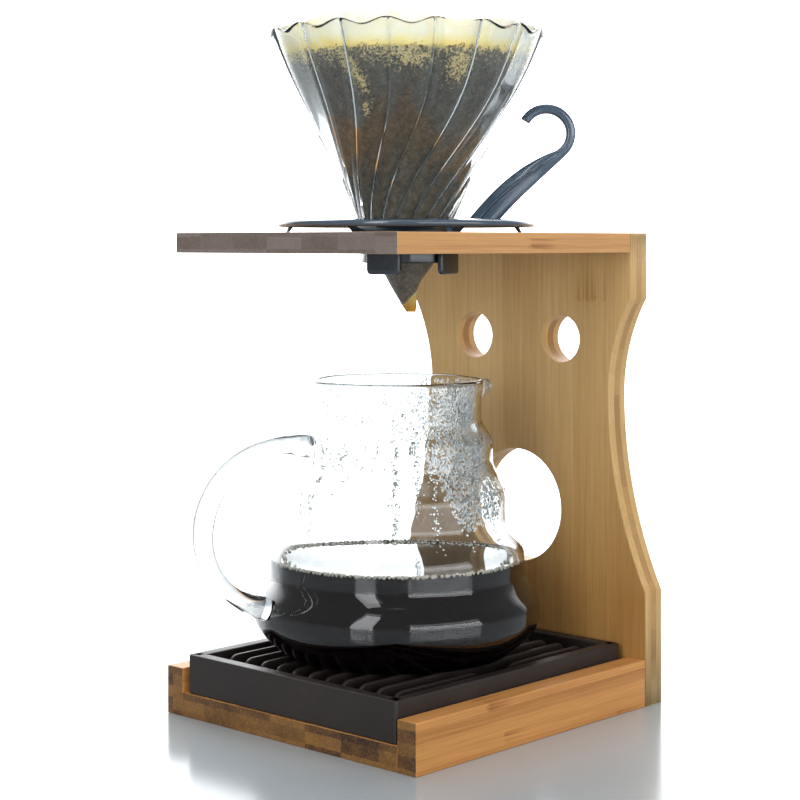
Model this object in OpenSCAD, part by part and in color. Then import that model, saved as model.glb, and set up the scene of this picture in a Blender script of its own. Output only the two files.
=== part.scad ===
// Pour-over coffee stand: a bamboo frame with a drip tray, a fluted glass dripper in a
// plastic holder, and a glass server with its brew.
// Millimetres, +Z up. The origin is on the floor, at the centre of the base.
// The front, where the tray slides out, faces -Y.

/* [Stand] */
// Height from the floor to the top of the shelf
stand_h = 208; // [195:1:230]
// Width of the base across both rails
base_w = 146; // [138:1:160]
// Depth of the base in front of the back panel
base_d = 149; // [145:1:165]
// Thickness of the floor board
floor_t = 10.2; // [9:0.1:12]
// Width of a side rail
rail_w = 9.8; // [8:0.1:11]
// Height of a side rail
rail_h = 20.6; // [18:0.1:24]

/* [Shelf] */
// Width of the shelf, and of the head of the back panel
shelf_w = 130.4; // [122:0.1:140]
// Depth of the shelf in front of the back panel
shelf_d = 151; // [146:1:165]
// Thickness of the shelf
shelf_t = 8.7; // [8:0.1:12]
// Diameter of the hole that the dripper hangs in
shelf_hole_d = 54; // [52:0.5:62]

/* [Back panel] */
// Thickness of the back panel
panel_t = 12.5; // [11:0.1:15]
// Height of the straight head of the panel
head_h = 29; // [20:1:40]
// Height of the straight foot of the panel
foot_h = 50; // [40:1:60]
// Width of the panel at its waist
waist_w = 106; // [98:1:116]
// Height of the waist above the floor
waist_z = 136; // [115:1:145]
// Diameter of the two upper holes
eye_d = 21.6; // [12:0.1:26]
// Distance between the upper holes
eye_spacing = 51.6; // [40:0.1:60]
// Distance of the upper holes below the top of the panel
eye_drop = 48; // [40:1:55]
// Diameter of the large lower hole
mouth_d = 52; // [36:0.5:60]
// Height of the large lower hole above the floor
mouth_z = 82; // [72:1:90]

/* [Fasteners] */
// Diameter of a wood screw
screw_d = 4; // [3:0.1:4.5]
// Length of a wood screw
screw_l = 40; // [30:1:45]
// Diameter of a countersunk screw head
screw_head_d = 7.6; // [6.5:0.1:8.2]
// Width across the flats of the hexagon socket in a screw head
screw_socket = 2.5; // [2:0.1:3]
// Depth of that socket
screw_socket_depth = 2; // [1:0.1:3]
// Distance between the two screws of a row
screw_spacing = 70; // [50:1:80]
// Diameter of a wooden dowel
dowel_d = 5; // [4:0.1:6]
// Depth of a dowel in the back panel or in a rail
dowel_short = 6; // [4:0.5:7]
// Depth of a dowel in the shelf or in the floor board
dowel_long = 14; // [10:0.5:18]
// Distance between the two dowels of the shelf
shelf_dowel_spacing = 104; // [90:1:110]
// Distance between the two dowels along a rail
rail_dowel_spacing = 84; // [60:1:100]
// Height of the dowel between a rail and the panel
rail_dowel_z = 13; // [10:0.5:16]
// Radial clearance of a screw or a dowel in its hole
fastener_fit = 0.1; // [0.05:0.01:0.2]

/* [Drip tray] */
// Gap between the tray and a rail
tray_side_gap = 2.1; // [1:0.1:3]
// How far the tray lies to the right of the middle of its channel
tray_shift = 0.9; // [0:0.1:0.9]
// Setback of the tray behind the front of the base
tray_setback = 0.7; // [0:0.1:3]
// Gap between the tray and the back panel
tray_back_gap = 3.5; // [1:0.1:6]
// Height of the tray
tray_h = 16.8; // [15:0.1:20]
// Thickness of the walls of the tray
tray_wall = 5.8; // [3:0.1:7]
// Thickness of the bottom of the tray
tray_bottom = 2.6; // [2:0.1:4]
// Radius of the upright corners of the tray
tray_corner_r = 1.6; // [0.5:0.1:3]
// How far the ribs stay below the rim of the tray
rib_below_rim = 0.7; // [0.3:0.1:2]
// Thickness of a rib
rib_t = 1.8; // [1.2:0.1:3]
// Distance from rib to rib
rib_pitch = 9.7; // [8:0.1:12]
// Smallest gap between the outer ribs and the side walls
rib_side_gap = 5; // [3:0.1:6]
// Gap between the ends of the ribs and the end walls
rib_end_gap = 6.4; // [4:0.1:12]
// Radius of the upper corners of a rib
rib_corner_r = 5.5; // [2:0.1:7]
// Gap in the middle of every second rib
rib_split = 18; // [10:1:24]

/* [Dripper holder] */
// Diameter of the flange
flange_d = 112; // [104:1:118]
// Thickness of the bead round the flange
bead_d = 2.7; // [2:0.1:3.4]
// How far the bead hangs below the underside of the plate
bead_lip = 0.5; // [0.2:0.1:1]
// Height of the bead above the shelf
bead_rise = 2.4; // [1.6:0.1:4]
// Height of the top of the plate above the shelf
plate_rise = 5.8; // [5:0.1:7]
// Thickness of the plate
plate_t = 2.2; // [1.6:0.1:3]
// How far the level part of the plate goes beyond the root of the handle
plate_margin = 3.6; // [2:0.1:6]
// Outer radius of the neck where it meets the plate
neck_top_r = 26; // [25:0.1:27]
// Outer radius of the neck at its lower end
neck_end_r = 19.8; // [19.4:0.1:22]
// Depth of the lower end of the neck below the top of the shelf
neck_drop = 8.7; // [7:0.1:12]
// Number of feet under the flange
foot_count = 4; // [3:1:6]
// Width of a foot
foot_w = 3.6; // [2:0.1:6]
// Thickness of a foot
foot_t = 2; // [1.5:0.1:3]
// How far the feet stand inside the edge of the flange
foot_inset = 1.6; // [1:0.1:4]
// Direction of the first foot
foot_angle = 62; // [0:1:90]
// Height of the ring that holds the glass from below
ring_h = 4.4; // [3:0.1:5]
// Number of tabs under the ring
tab_count = 3; // [2:1:3]
// Width of a tab
tab_w = 16; // [10:0.5:18]
// Thickness of a tab
tab_t = 2.4; // [1.8:0.1:3]
// Distance of the outer face of a tab from the axis
tab_r = 21.6; // [21.2:0.1:23]
// Depth of the lower end of a tab below the top of the shelf
tab_drop = 18; // [15:0.5:22]
// Radius of the lower corners of a tab
tab_corner_r = 2.5; // [1:0.1:4]
// Direction of the first tab
tab_angle = 15; // [0:1:90]
// Turn from one tab to the next
tab_spread = 135; // [120:1:140]

/* [Hook handle] */
// Direction of the handle
hook_angle = 44; // [30:1:60]
// Distance of the inner edge of its root from the axis
hook_root_in = 27; // [26:0.1:30]
// Distance of the outer edge of its root from the axis
hook_root_out = 40.9; // [38:0.1:44]
// Distance of the middle of the hook from the axis
hook_reach = 61.1; // [56:0.1:66]
// Height of the middle of the hook above the shelf
hook_rise = 43.4; // [40:0.1:50]
// Radius of the hook at the middle of its rod
hook_r = 10.65; // [9:0.05:13]
// Thickness of the rod of the hook
hook_t = 4.4; // [3:0.1:5]
// Width of the rod of the hook, across its plane
hook_w = 5.4; // [4:0.1:7]
// Width of the root, across the plane of the hook
hook_root_w = 9; // [7:0.1:12]
// Direction, seen from the middle of the hook, of its free end
hook_end = 149; // [120:1:160]

/* [Dripper glass] */
// Outer radius at the rim
rim_r = 61; // [56:0.1:64]
// Outer radius at the lower end
outlet_r = 15.5; // [14.5:0.1:16]
// Height of the rim above the shelf
rim_rise = 85.2; // [82:0.1:92]
// Depth of the lower end below the top of the shelf
outlet_drop = 12; // [10:0.1:13]
// Length of the nearly straight lower end of the bell shape
bell_lower = 50; // [46:0.5:54]
// Lean of the wall at the lower end, radius for each unit of height
lower_lean = 0.284; // [0.25:0.002:0.32]
// Length of the nearly straight upper end of the bell shape
bell_upper = 36; // [30:0.5:40]
// Lean of the wall at the rim, radius for each unit of height
upper_lean = 0.33; // [0.2:0.01:0.4]
// Thickness of the glass
glass_t = 2.2; // [1.6:0.1:2.6]
// Number of flutes
flutes = 18; // [12:1:20]
// Depth of a flute at the rim
flute_rim = 1.2; // [0.8:0.1:3]
// Depth of a flute at the lower end
flute_end = 0.4; // [0.2:0.1:0.6]
// Turn of the flutes from the rim to the lower end
flute_swirl = 16; // [0:1:30]
// How far the rim rises and falls with the flutes
rim_wave = 1.3; // [0.5:0.1:2]
// Direction of the first flute
flute_angle = 5; // [0:1:20]
// Clearance of the glass in its holder
seat_fit = 0.3; // [0.2:0.05:0.5]

/* [Filter and grounds] */
// Thickness of the filter paper
paper_t = 0.5; // [0.4:0.1:0.8]
// Clearance between the paper and the glass
paper_fit = 0.35; // [0.3:0.05:0.6]
// Height of the paper above the rim of the glass
paper_rise = 4.8; // [0:0.1:6]
// Depth of the tip of the paper below the top of the shelf
tip_drop = 34.4; // [30:0.2:38]
// Radius of the folded tip
tip_r = 2; // [1.5:0.1:3]
// Height of the edge of the grounds above the shelf
bed_edge_rise = 77; // [70:0.5:80]
// Height of the hollow in the middle of the grounds above the shelf
bed_middle_rise = 52; // [40:0.5:60]
// Thickness of the grounds left on the paper at their edge
bed_edge_t = 2.5; // [1.5:0.1:4]
// Clearance between the grounds and the paper
bed_fit = 0.1; // [0.05:0.05:0.3]

/* [Server] */
// How far the server stands in front of the dripper
server_forward = 3.5; // [0:0.5:8]
// How far the server stands to the left of the dripper
server_left = 2.1; // [0:0.1:4]
// Height of the server
server_h = 118.2; // [116:0.1:126]
// Radius of the flat foot
server_foot_r = 48; // [44:0.1:52]
// Largest radius
server_body_r = 62; // [59:0.1:63]
// Height of the largest radius above the foot
server_body_h = 17.2; // [14:0.1:20]
// Radius of the first step
step1_r = 55.3; // [53:0.1:58]
// Height of the first step above the foot
step1_h = 38.7; // [35:0.1:42]
// Radius of the second step
step2_r = 48.4; // [46:0.1:51]
// Height of the second step above the foot
step2_h = 63.2; // [59:0.1:67]
// Radius of the third step
step3_r = 41.6; // [40:0.1:44]
// Height of the third step above the foot
step3_h = 87.7; // [84:0.1:91]
// Radius of the neck
server_neck_r = 36.6; // [34:0.1:38]
// Height of the neck above the foot
server_neck_h = 104.7; // [101:0.1:108]
// Radius of the rim
server_rim_r = 37.5; // [36:0.1:40]
// Thickness of the glass wall
server_wall = 2.2; // [1.6:0.1:2.8]
// Share of the way from step to step that stays upright at each of them
step_upright = 0.18; // [0:0.01:0.3]
// Thickness of the glass bottom
server_bottom = 3; // [2:0.1:4]
// Distance of the tip of the spout from the axis
spout_reach = 46.6; // [43:0.1:49]
// Radius of the spout at the rim
spout_r = 8; // [6:0.1:9]
// Depth of the spout below the rim
spout_depth = 16; // [13:0.5:24]
// Direction of the spout
spout_angle = 69.5; // [45:0.5:90]
// Direction of the handle, seen from the spout
handle_turn = 180; // [170:1:190]
// Height of the upper weld of the handle above the foot
handle_top_h = 90.7; // [86:0.1:94]
// Height of the lower weld of the handle above the foot
handle_low_h = 23.3; // [20:0.1:27]
// How far the handle first runs out from its upper weld
handle_top_out = 46.4; // [38:0.2:50]
// How far it rises on that way
handle_top_rise = 11.2; // [5:0.2:15]
// How far the handle runs out from its lower weld
handle_low_out = 50.8; // [42:0.2:55]
// How far it rises on that way
handle_low_rise = 15.2; // [10:0.2:20]
// Thickness of the handle at its middle
handle_t = 9.2; // [6:0.1:10]
// Thickness of the handle near its welds
handle_end_t = 5.4; // [4:0.1:7]
// Diameter of the glass drawn out at each weld
weld_d = 10; // [8:0.1:12]
// Clearance between the handle and the jug at a weld
weld_fit = 0.05; // [0.05:0.01:0.1]
// Height of the coffee above the foot of the server
coffee_h = 40.4; // [20:0.2:50]
// Clearance between the coffee and the glass
coffee_fit = 0.2; // [0.1:0.05:0.4]

/* [Hidden] */
$fn = 96;
// Extra length of a cutting shape, so that it passes through a face
over = 1;
// Segments along the height of the server and along a curved outline
server_rows = 36;
bell_rows = 12;
// Points round one flute and rings along a handle
flute_points = 4;
stem_rings = 12;
hook_rings = 16;
handle_rings = 26;
// Points round a handle
rod_points = 12;
// Power with which the wave of the rim fades down the wall
rim_fade = 8;

// Places along Y
panel_back_y = (base_d + panel_t) / 2;
panel_front_y = panel_back_y - panel_t;
base_front_y = panel_front_y - base_d;
dripper_y = panel_front_y - shelf_d / 2;
server_y = dripper_y - server_forward;

// Outline of the back panel: two arcs that meet at the waist
neck_z = stand_h - head_h;
upper_arc_dx = (shelf_w - waist_w) / 2;
upper_arc_dz = neck_z - waist_z;
upper_arc_r = (pow(upper_arc_dx, 2) + pow(upper_arc_dz, 2)) / (2 * upper_arc_dx);
lower_arc_dx = (base_w - waist_w) / 2;
lower_arc_dz = waist_z - foot_h;
lower_arc_r = (pow(lower_arc_dx, 2) + pow(lower_arc_dz, 2)) / (2 * lower_arc_dx);

// Fasteners
screw_head_h = (screw_head_d - screw_d) / 2;
shelf_mid_z = stand_h - shelf_t / 2;
floor_mid_z = floor_t / 2;
rail_mid_x = (base_w - rail_w) / 2;
floor_w = base_w - 2 * rail_w;

// Drip tray
tray_w = floor_w - 2 * tray_side_gap;
tray_d = base_d - tray_setback - tray_back_gap;
tray_y = base_front_y + tray_setback + tray_d / 2;
tray_floor_z = floor_t + tray_bottom;
rib_h = tray_h - tray_bottom - rib_below_rim;
rib_l = tray_d - 2 * (tray_wall + rib_end_gap);
rib_top_z = tray_floor_z + rib_h;
ribs_each_side = floor((tray_w / 2 - tray_wall - rib_side_gap - rib_t / 2) / rib_pitch);

// Dripper
plate_z = stand_h + plate_rise;
plate_flat_r = hook_root_out + plate_margin;
bead_z = stand_h + bead_rise + bead_d / 2;
bead_r = (flange_d - bead_d) / 2;
neck_end_z = stand_h - neck_drop;
outlet_z = stand_h - outlet_drop;
rim_z = stand_h + rim_rise;
tip_z = stand_h - tip_drop;
bell = [
    [outlet_r, outlet_z],
    [outlet_r + lower_lean * bell_lower, outlet_z + bell_lower],
    [rim_r - upper_lean * bell_upper, rim_z - bell_upper],
    [rim_r, rim_z]
];

// Hook handle, in its own upright plane: distance from the axis, height
hook_mid = [hook_reach, stand_h + hook_rise];
hook_in_r = hook_r - hook_t / 2;
hook_out_r = hook_r + hook_t / 2;
// Directions in which the two edges of the stem run into the hook
hook_in_start = -70;
hook_out_start = -45;
// Lean of the two edges at the root, and how far each edge keeps to its end directions
stem_in_lean = 52;
stem_out_lean = 49;
stem_in_pull = [15, 16];
stem_out_pull = [14, 9];

// Server
server_z = rib_top_z;
jug_knots = [
    [server_body_h, server_body_r],
    [step1_h, step1_r],
    [step2_h, step2_r],
    [step3_h, step3_r],
    [server_neck_h, server_neck_r],
    [server_h, server_rim_r]
];
// Radius of the lower end of the spout, which lies inside the wall of the neck
spout_root_r = 3.4;
spout_root_x = server_neck_r - spout_root_r;
spout_top_x = spout_reach - spout_r;
spout_lean = atan2(spout_top_x - spout_root_x, spout_depth);
handle_angle = spout_angle + handle_turn;
handle_top_x = jug_r(handle_top_h);
handle_low_x = jug_r(handle_low_h);
// The handle leaves its upper weld nearly level and comes back to the lower one from outside
handle_curve = [
    [handle_top_x, handle_top_h],
    [handle_top_x + handle_top_out, handle_top_h + handle_top_rise],
    [handle_low_x + handle_low_out, handle_low_h + handle_low_rise],
    [handle_low_x, handle_low_h]
];

// Point and direction on a cubic curve given by its four control points
function curve(p, t) = pow(1 - t, 3) * p[0] + 3 * t * pow(1 - t, 2) * p[1]
    + 3 * t * t * (1 - t) * p[2] + pow(t, 3) * p[3];
function curve_way(p, t) = pow(1 - t, 2) * (p[1] - p[0]) + 2 * t * (1 - t) * (p[2] - p[1])
    + t * t * (p[3] - p[2]);
function polar(angle) = [cos(angle), sin(angle)];
function ease(u) = (1 - cos(180 * u)) / 2;

// Outer radius of the jug at a height above its foot: a round shoulder, then eased steps
function span_of(h, i = 0) = i >= len(jug_knots) - 2 || h <= jug_knots[i + 1][0]
    ? i : span_of(h, i + 1);
function step_u(u) = min(max((u - step_upright) / (1 - 2 * step_upright), 0), 1);
function step_r(h, a, b) = a[1] + (b[1] - a[1]) * ease(step_u((h - a[0]) / (b[0] - a[0])));
function jug_r(h) = h < server_body_h
    ? server_foot_r + (server_body_r - server_foot_r) * sin(90 * h / server_body_h)
    : let (i = span_of(h)) step_r(h, jug_knots[i], jug_knots[i + 1]);
function jug_heights(from, to) = [for (i = [0 : server_rows]) from + (to - from) * i / server_rows];

// Skin of triangles through rings of points, each ring with the same number of points
function skin_side(rings, points, wrap) = [
    for (i = [0 : rings - (wrap ? 1 : 2)], j = [0 : points - 1])
        let (a = i * points, b = ((i + 1) % rings) * points, k = (j + 1) % points)
        each [[a + j, b + j, b + k], [a + j, b + k, a + k]]
];
function skin_cap(first, points, turn) = [
    for (j = [1 : points - 2]) turn ? [first, first + j + 1, first + j] : [first, first + j, first + j + 1]
];
module solid_skin(rings) {
    n = len(rings);
    m = len(rings[0]);
    polyhedron(
        points = [for (r = rings) each r],
        faces = concat(
            skin_side(n, m, false), skin_cap(0, m, false), skin_cap((n - 1) * m, m, true)
        )
    );
}
module hollow_skin(rings) {
    polyhedron(
        points = [for (r = rings) each r],
        faces = skin_side(len(rings), len(rings[0]), true)
    );
}
// Oval ring about a point in the XZ plane, with one half axis in that plane and one along Y
function oval(mid, half, half_w) = [
    for (j = [0 : rod_points - 1])
        let (c = cos(360 * j / rod_points), s = sin(360 * j / rod_points))
        [mid[0] + half[0] * c, half_w * s, mid[1] + half[1] * c]
];

module along_y(x, y, z) {
    translate([x, y, z]) rotate([-90, 0, 0]) children();
}
module along_x(x, y, z) {
    translate([x, y, z]) rotate([0, 90, 0]) children();
}
module both_sides() {
    children();
    mirror([1, 0, 0]) children();
}
module rounded_rectangle(w, d, r) {
    square([w - 2 * r, d], center = true);
    square([w, d - 2 * r], center = true);
    for (x = [-1, 1], y = [-1, 1])
        translate([x * (w / 2 - r), y * (d / 2 - r)]) circle(r);
}
module at_dripper() {
    translate([0, dripper_y, 0]) children();
}
module at_server() {
    translate([-server_left, server_y, server_z]) children();
}

// Countersunk screw that enters from the back of the panel; grow widens it into its own hole
module screw_shape(grow) {
    along_y(0, panel_back_y - screw_l - grow, 0) cylinder(h = screw_l + grow, d = screw_d + 2 * grow);
    along_y(0, panel_back_y - screw_head_h, 0)
        cylinder(h = screw_head_h, d1 = screw_d + 2 * grow, d2 = screw_head_d + 2 * grow);
}
module screw() {
    difference() {
        screw_shape(0);
        along_y(0, panel_back_y - screw_socket_depth, 0)
            cylinder(h = screw_socket_depth + over, d = screw_socket / cos(30), $fn = 6);
    }
}
module screw_row(z) {
    both_sides() translate([screw_spacing / 2, 0, z]) children();
}
// Dowel shape from the panel into what stands in front of it
module panel_dowel(x, z, depth, grow) {
    along_y(x, panel_front_y - depth - grow, z)
        cylinder(h = depth + dowel_short + 2 * grow, d = dowel_d + 2 * grow);
}
module shelf_dowel_shapes(grow) {
    both_sides() panel_dowel(shelf_dowel_spacing / 2, shelf_mid_z, dowel_long, grow);
}
module panel_dowel_shapes(grow) {
    both_sides() panel_dowel(rail_mid_x, rail_dowel_z, dowel_long, grow);
}
module rail_dowel_shapes(grow) {
    for (y = [-1, 1])
        both_sides()
            along_x(floor_w / 2 - dowel_long - grow, y * rail_dowel_spacing / 2, floor_mid_z)
                cylinder(h = dowel_long + dowel_short + 2 * grow, d = dowel_d + 2 * grow);
}

module waist_cut() {
    intersection() {
        translate([waist_w / 2 + upper_arc_r, waist_z]) circle(upper_arc_r);
        translate([0, waist_z]) square([base_w, upper_arc_dz]);
    }
    intersection() {
        translate([waist_w / 2 + lower_arc_r, waist_z]) circle(lower_arc_r);
        translate([0, foot_h]) square([base_w, lower_arc_dz]);
    }
}
module panel_outline() {
    difference() {
        polygon([
            [-base_w / 2, 0], [base_w / 2, 0], [base_w / 2, foot_h], [shelf_w / 2, neck_z],
            [shelf_w / 2, stand_h], [-shelf_w / 2, stand_h], [-shelf_w / 2, neck_z], [-base_w / 2, foot_h]
        ]);
        waist_cut();
        mirror([1, 0]) waist_cut();
        for (x = [-1, 1]) translate([x * eye_spacing / 2, stand_h - eye_drop]) circle(d = eye_d);
        translate([0, mouth_z]) circle(d = mouth_d);
    }
}
module back_panel() {
    color("burlywood")
        difference() {
            translate([0, panel_back_y, 0]) rotate([90, 0, 0]) linear_extrude(panel_t) panel_outline();
            screw_row(shelf_mid_z) screw_shape(fastener_fit);
            screw_row(floor_mid_z) screw_shape(fastener_fit);
            shelf_dowel_shapes(fastener_fit);
            panel_dowel_shapes(fastener_fit);
        }
}
module shelf() {
    color("tan")
        difference() {
            translate([-shelf_w / 2, panel_front_y - shelf_d, stand_h - shelf_t])
                cube([shelf_w, shelf_d, shelf_t]);
            translate([0, dripper_y, stand_h - shelf_t - over])
                cylinder(h = shelf_t + 2 * over, d = shelf_hole_d);
            screw_row(shelf_mid_z) screw_shape(fastener_fit);
            shelf_dowel_shapes(fastener_fit);
        }
}
module base_floor() {
    color("peru")
        difference() {
            translate([-floor_w / 2, base_front_y, 0]) cube([floor_w, base_d, floor_t]);
            screw_row(floor_mid_z) screw_shape(fastener_fit);
            rail_dowel_shapes(fastener_fit);
        }
}
module rail() {
    difference() {
        translate([floor_w / 2, base_front_y, 0]) cube([rail_w, base_d, rail_h]);
        panel_dowel_shapes(fastener_fit);
        rail_dowel_shapes(fastener_fit);
    }
}
module right_rail() {
    color("sandybrown") rail();
}
module left_rail() {
    color("sandybrown") mirror([1, 0, 0]) rail();
}
module shelf_screws() {
    color("silver") screw_row(shelf_mid_z) screw();
}
module base_screws() {
    color("silver") screw_row(floor_mid_z) screw();
}
module shelf_dowels() {
    color("wheat") shelf_dowel_shapes(0);
}
module panel_dowels() {
    color("wheat") panel_dowel_shapes(0);
}
module rail_dowels() {
    color("wheat") rail_dowel_shapes(0);
}

module drip_tray() {
    color("#352f2c")
        translate([tray_shift, tray_y, floor_t])
            difference() {
                linear_extrude(tray_h) rounded_rectangle(tray_w, tray_d, tray_corner_r);
                translate([0, 0, tray_bottom])
                    linear_extrude(tray_h)
                        rounded_rectangle(tray_w - 2 * tray_wall, tray_d - 2 * tray_wall, tray_corner_r);
            }
}
// One upright rib along Y, with its upper corners rounded
module rib(length) {
    rotate([90, 0, 90])
        translate([0, 0, -rib_t / 2])
            linear_extrude(rib_t) {
                translate([-length / 2, 0]) square([length, rib_h - rib_corner_r]);
                translate([rib_corner_r - length / 2, 0]) square([length - 2 * rib_corner_r, rib_h]);
                for (s = [-1, 1])
                    translate([s * (length / 2 - rib_corner_r), rib_h - rib_corner_r]) circle(rib_corner_r);
            }
}
module tray_ribs() {
    half = (rib_l - rib_split) / 2;
    color("#352f2c")
        translate([tray_shift, tray_y, tray_floor_z])
            for (i = [-ribs_each_side : ribs_each_side])
                translate([i * rib_pitch, 0, 0])
                    if ((i + ribs_each_side) % 2 == 1) rib(rib_l);
                    else for (s = [-1, 1]) translate([0, s * (half + rib_split) / 2, 0]) rib(half);
}

// Outer radius of the glass, without its flutes, at a share of its height
function bell_point(t) = curve(bell, t);
function flute_depth(t) = flute_end + (flute_rim - flute_end) * t;
// 0 at the crease between two flutes, 1 at the middle of a flute
function flute_swell(angle) = abs(sin(flutes / 2 * angle));
function cone_ring(t, inset) = let (p = bell_point(t), count = flutes * flute_points) [
    for (j = [0 : count - 1])
        let (
            angle = 360 * j / count,
            swell = flute_swell(angle),
            wave = rim_wave * (1 - 2 * swell) * pow(t, rim_fade),
            r = p[0] - inset - flute_depth(t) * (1 - swell) + upper_lean * wave,
            turned = angle + flute_angle - flute_swirl * (1 - t)
        )
        [r * cos(turned), r * sin(turned), p[1] + wave]
];
function bell_steps(up) = [for (i = [0 : bell_rows]) (up ? i : bell_rows - i) / bell_rows];
module dripper_cone() {
    color("lightcyan", 0.5)
        at_dripper()
            hollow_skin(concat(
                [for (t = bell_steps(false)) cone_ring(t, 0)],
                [for (t = bell_steps(true)) cone_ring(t, glass_t)]
            ));
}

// Solid that fills the bell to a distance outside its wall, between two heights of its outline
module bell_solid(grow) {
    rotate_extrude()
        polygon(concat(
            [[0, outlet_z - over]],
            [[outlet_r + grow, outlet_z - over]],
            [for (t = bell_steps(true)) [bell_point(t)[0] + grow, bell_point(t)[1]]],
            [[0, rim_z]]
        ));
}
module holder_foot() {
    translate([bead_r - foot_inset - foot_t / 2, -foot_w / 2, stand_h])
        cube([foot_t, foot_w, bead_z - stand_h]);
}
module dripper_holder() {
    color("#2f3a44")
        at_dripper()
            difference() {
                union() {
                    rotate_extrude() {
                        polygon([
                            [0, neck_end_z], [neck_end_r, neck_end_z], [neck_top_r, plate_z - plate_t],
                            [bead_r, bead_z - bead_d / 2 + bead_lip], [bead_r, bead_z + bead_d / 2],
                            [plate_flat_r, plate_z], [0, plate_z]
                        ]);
                        translate([bead_r, bead_z]) circle(d = bead_d);
                    }
                    for (i = [0 : foot_count - 1]) rotate(foot_angle + 360 * i / foot_count) holder_foot();
                }
                bell_solid(seat_fit);
            }
}
module tab() {
    translate([tab_r - tab_t, 0, stand_h - tab_drop])
        rotate([90, 0, 90])
            linear_extrude(tab_t) {
                translate([-tab_w / 2, tab_corner_r]) square([tab_w, tab_drop - neck_drop - tab_corner_r]);
                translate([tab_corner_r - tab_w / 2, 0]) square([tab_w - 2 * tab_corner_r, tab_corner_r]);
                for (s = [-1, 1])
                    translate([s * (tab_w / 2 - tab_corner_r), tab_corner_r]) circle(tab_corner_r);
            }
}
module retaining_ring() {
    color("#252d35")
        at_dripper()
            difference() {
                union() {
                    translate([0, 0, neck_end_z - ring_h]) cylinder(h = ring_h, r = neck_end_r);
                    for (i = [0 : tab_count - 1]) rotate(tab_angle + tab_spread * i) tab();
                }
                bell_solid(seat_fit);
                translate([0, 0, stand_h - tab_drop - over])
                    cylinder(h = tab_drop, r = outlet_r + seat_fit);
            }
}

// The two edges of the stem, each from its root to where it runs into the hook
function stem_edge(root, lean, pull, r, start) = let (end = hook_mid + r * polar(start)) [
    [root, plate_z],
    [root, plate_z] + pull[0] * polar(lean),
    end - pull[1] * polar(start + 90),
    end
];
stem_in = stem_edge(hook_root_in, stem_in_lean, stem_in_pull, hook_in_r, hook_in_start);
stem_out = stem_edge(hook_root_out, stem_out_lean, stem_out_pull, hook_out_r, hook_out_start);
function hook_ring(inner, outer, w) = oval((inner + outer) / 2, (outer - inner) / 2, w / 2);
function stem_ring(t) = hook_ring(
    curve(stem_in, t), curve(stem_out, t), hook_root_w + (hook_w - hook_root_w) * ease(t)
);
function rod_ring(u) = hook_ring(
    hook_mid + hook_in_r * polar(hook_in_start + (hook_end - hook_in_start) * u),
    hook_mid + hook_out_r * polar(hook_out_start + (hook_end - hook_out_start) * u),
    hook_w
);
module hook_handle() {
    color("#2f3a44")
        at_dripper()
            rotate(hook_angle)
                solid_skin(concat(
                    [for (i = [0 : stem_rings]) stem_ring(i / stem_rings)],
                    [for (i = [1 : hook_rings]) rod_ring(i / hook_rings)]
                ));
}

// Outline of the paper: a folded tip, a straight cone to the outlet, then along the creases
function crease_inset(t) = flute_depth(t) + glass_t + paper_fit;
function paper_line(inset) = concat(
    [[tip_r - inset, tip_z]],
    [for (t = bell_steps(true)) [bell_point(t)[0] - crease_inset(t) - inset, bell_point(t)[1]]]
);
function paper_top(inset) = [
    rim_r - crease_inset(1) - inset + upper_lean * paper_rise, rim_z + paper_rise
];
module paper_filter() {
    outer = concat(paper_line(0), [paper_top(0)]);
    inner = concat(paper_line(paper_t), [paper_top(paper_t)]);
    color("wheat")
        at_dripper()
            rotate_extrude()
                polygon(concat(
                    [[0, tip_z]],
                    outer,
                    [for (i = [len(inner) - 1 : -1 : 0]) inner[i] + [0, i == 0 ? paper_t : 0]],
                    [[0, tip_z + paper_t]]
                ));
}
module coffee_bed() {
    gap = paper_t + bed_fit;
    top_z = stand_h + bed_edge_rise;
    wall = [for (p = paper_line(gap)) if (p[1] < top_z) p];
    last = wall[len(wall) - 1];
    top_r = last[0] + upper_lean * (top_z - last[1]);
    dish_r = top_r - bed_edge_t;
    dish_z = stand_h + bed_middle_rise;
    color("#4d4843")
        at_dripper()
            rotate_extrude()
                polygon(concat(
                    [[0, tip_z + gap]],
                    [[wall[0][0], tip_z + gap]],
                    [for (i = [1 : len(wall) - 1]) wall[i]],
                    [[top_r, top_z]],
                    [for (i = [0 : bell_rows])
                        let (u = 1 - i / bell_rows) [dish_r * u, dish_z + (top_z - dish_z) * ease(u)]]
                ));
}

// Solid of the jug's outline moved out by grow, from one height to another
module jug_solid(grow, from, to) {
    rotate_extrude()
        polygon(concat(
            [[0, from]],
            [for (h = jug_heights(from, to)) [jug_r(min(h, server_h)) + grow, h]],
            [[0, to]]
        ));
}
// Lobe of the spout: a cone that leans out of the neck
module spout_lobe(grow) {
    rotate(spout_angle)
        translate([spout_root_x, 0, server_h - spout_depth])
            rotate([0, spout_lean, 0])
                cylinder(h = spout_depth + 2 * spout_r, r1 = spout_root_r + grow,
                    r2 = spout_root_r + grow + (spout_r - spout_root_r) * (1 + 2 * spout_r / spout_depth));
}
module server_jug() {
    color("lightcyan", 0.5)
        at_server()
            difference() {
                union() {
                    jug_solid(0, 0, server_h);
                    intersection() {
                        spout_lobe(0);
                        translate([0, 0, server_h - 2 * spout_depth])
                            cylinder(h = 2 * spout_depth, r = 2 * spout_reach);
                    }
                }
                jug_solid(-server_wall, server_bottom, server_h + over);
                spout_lobe(-server_wall);
            }
}

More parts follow.
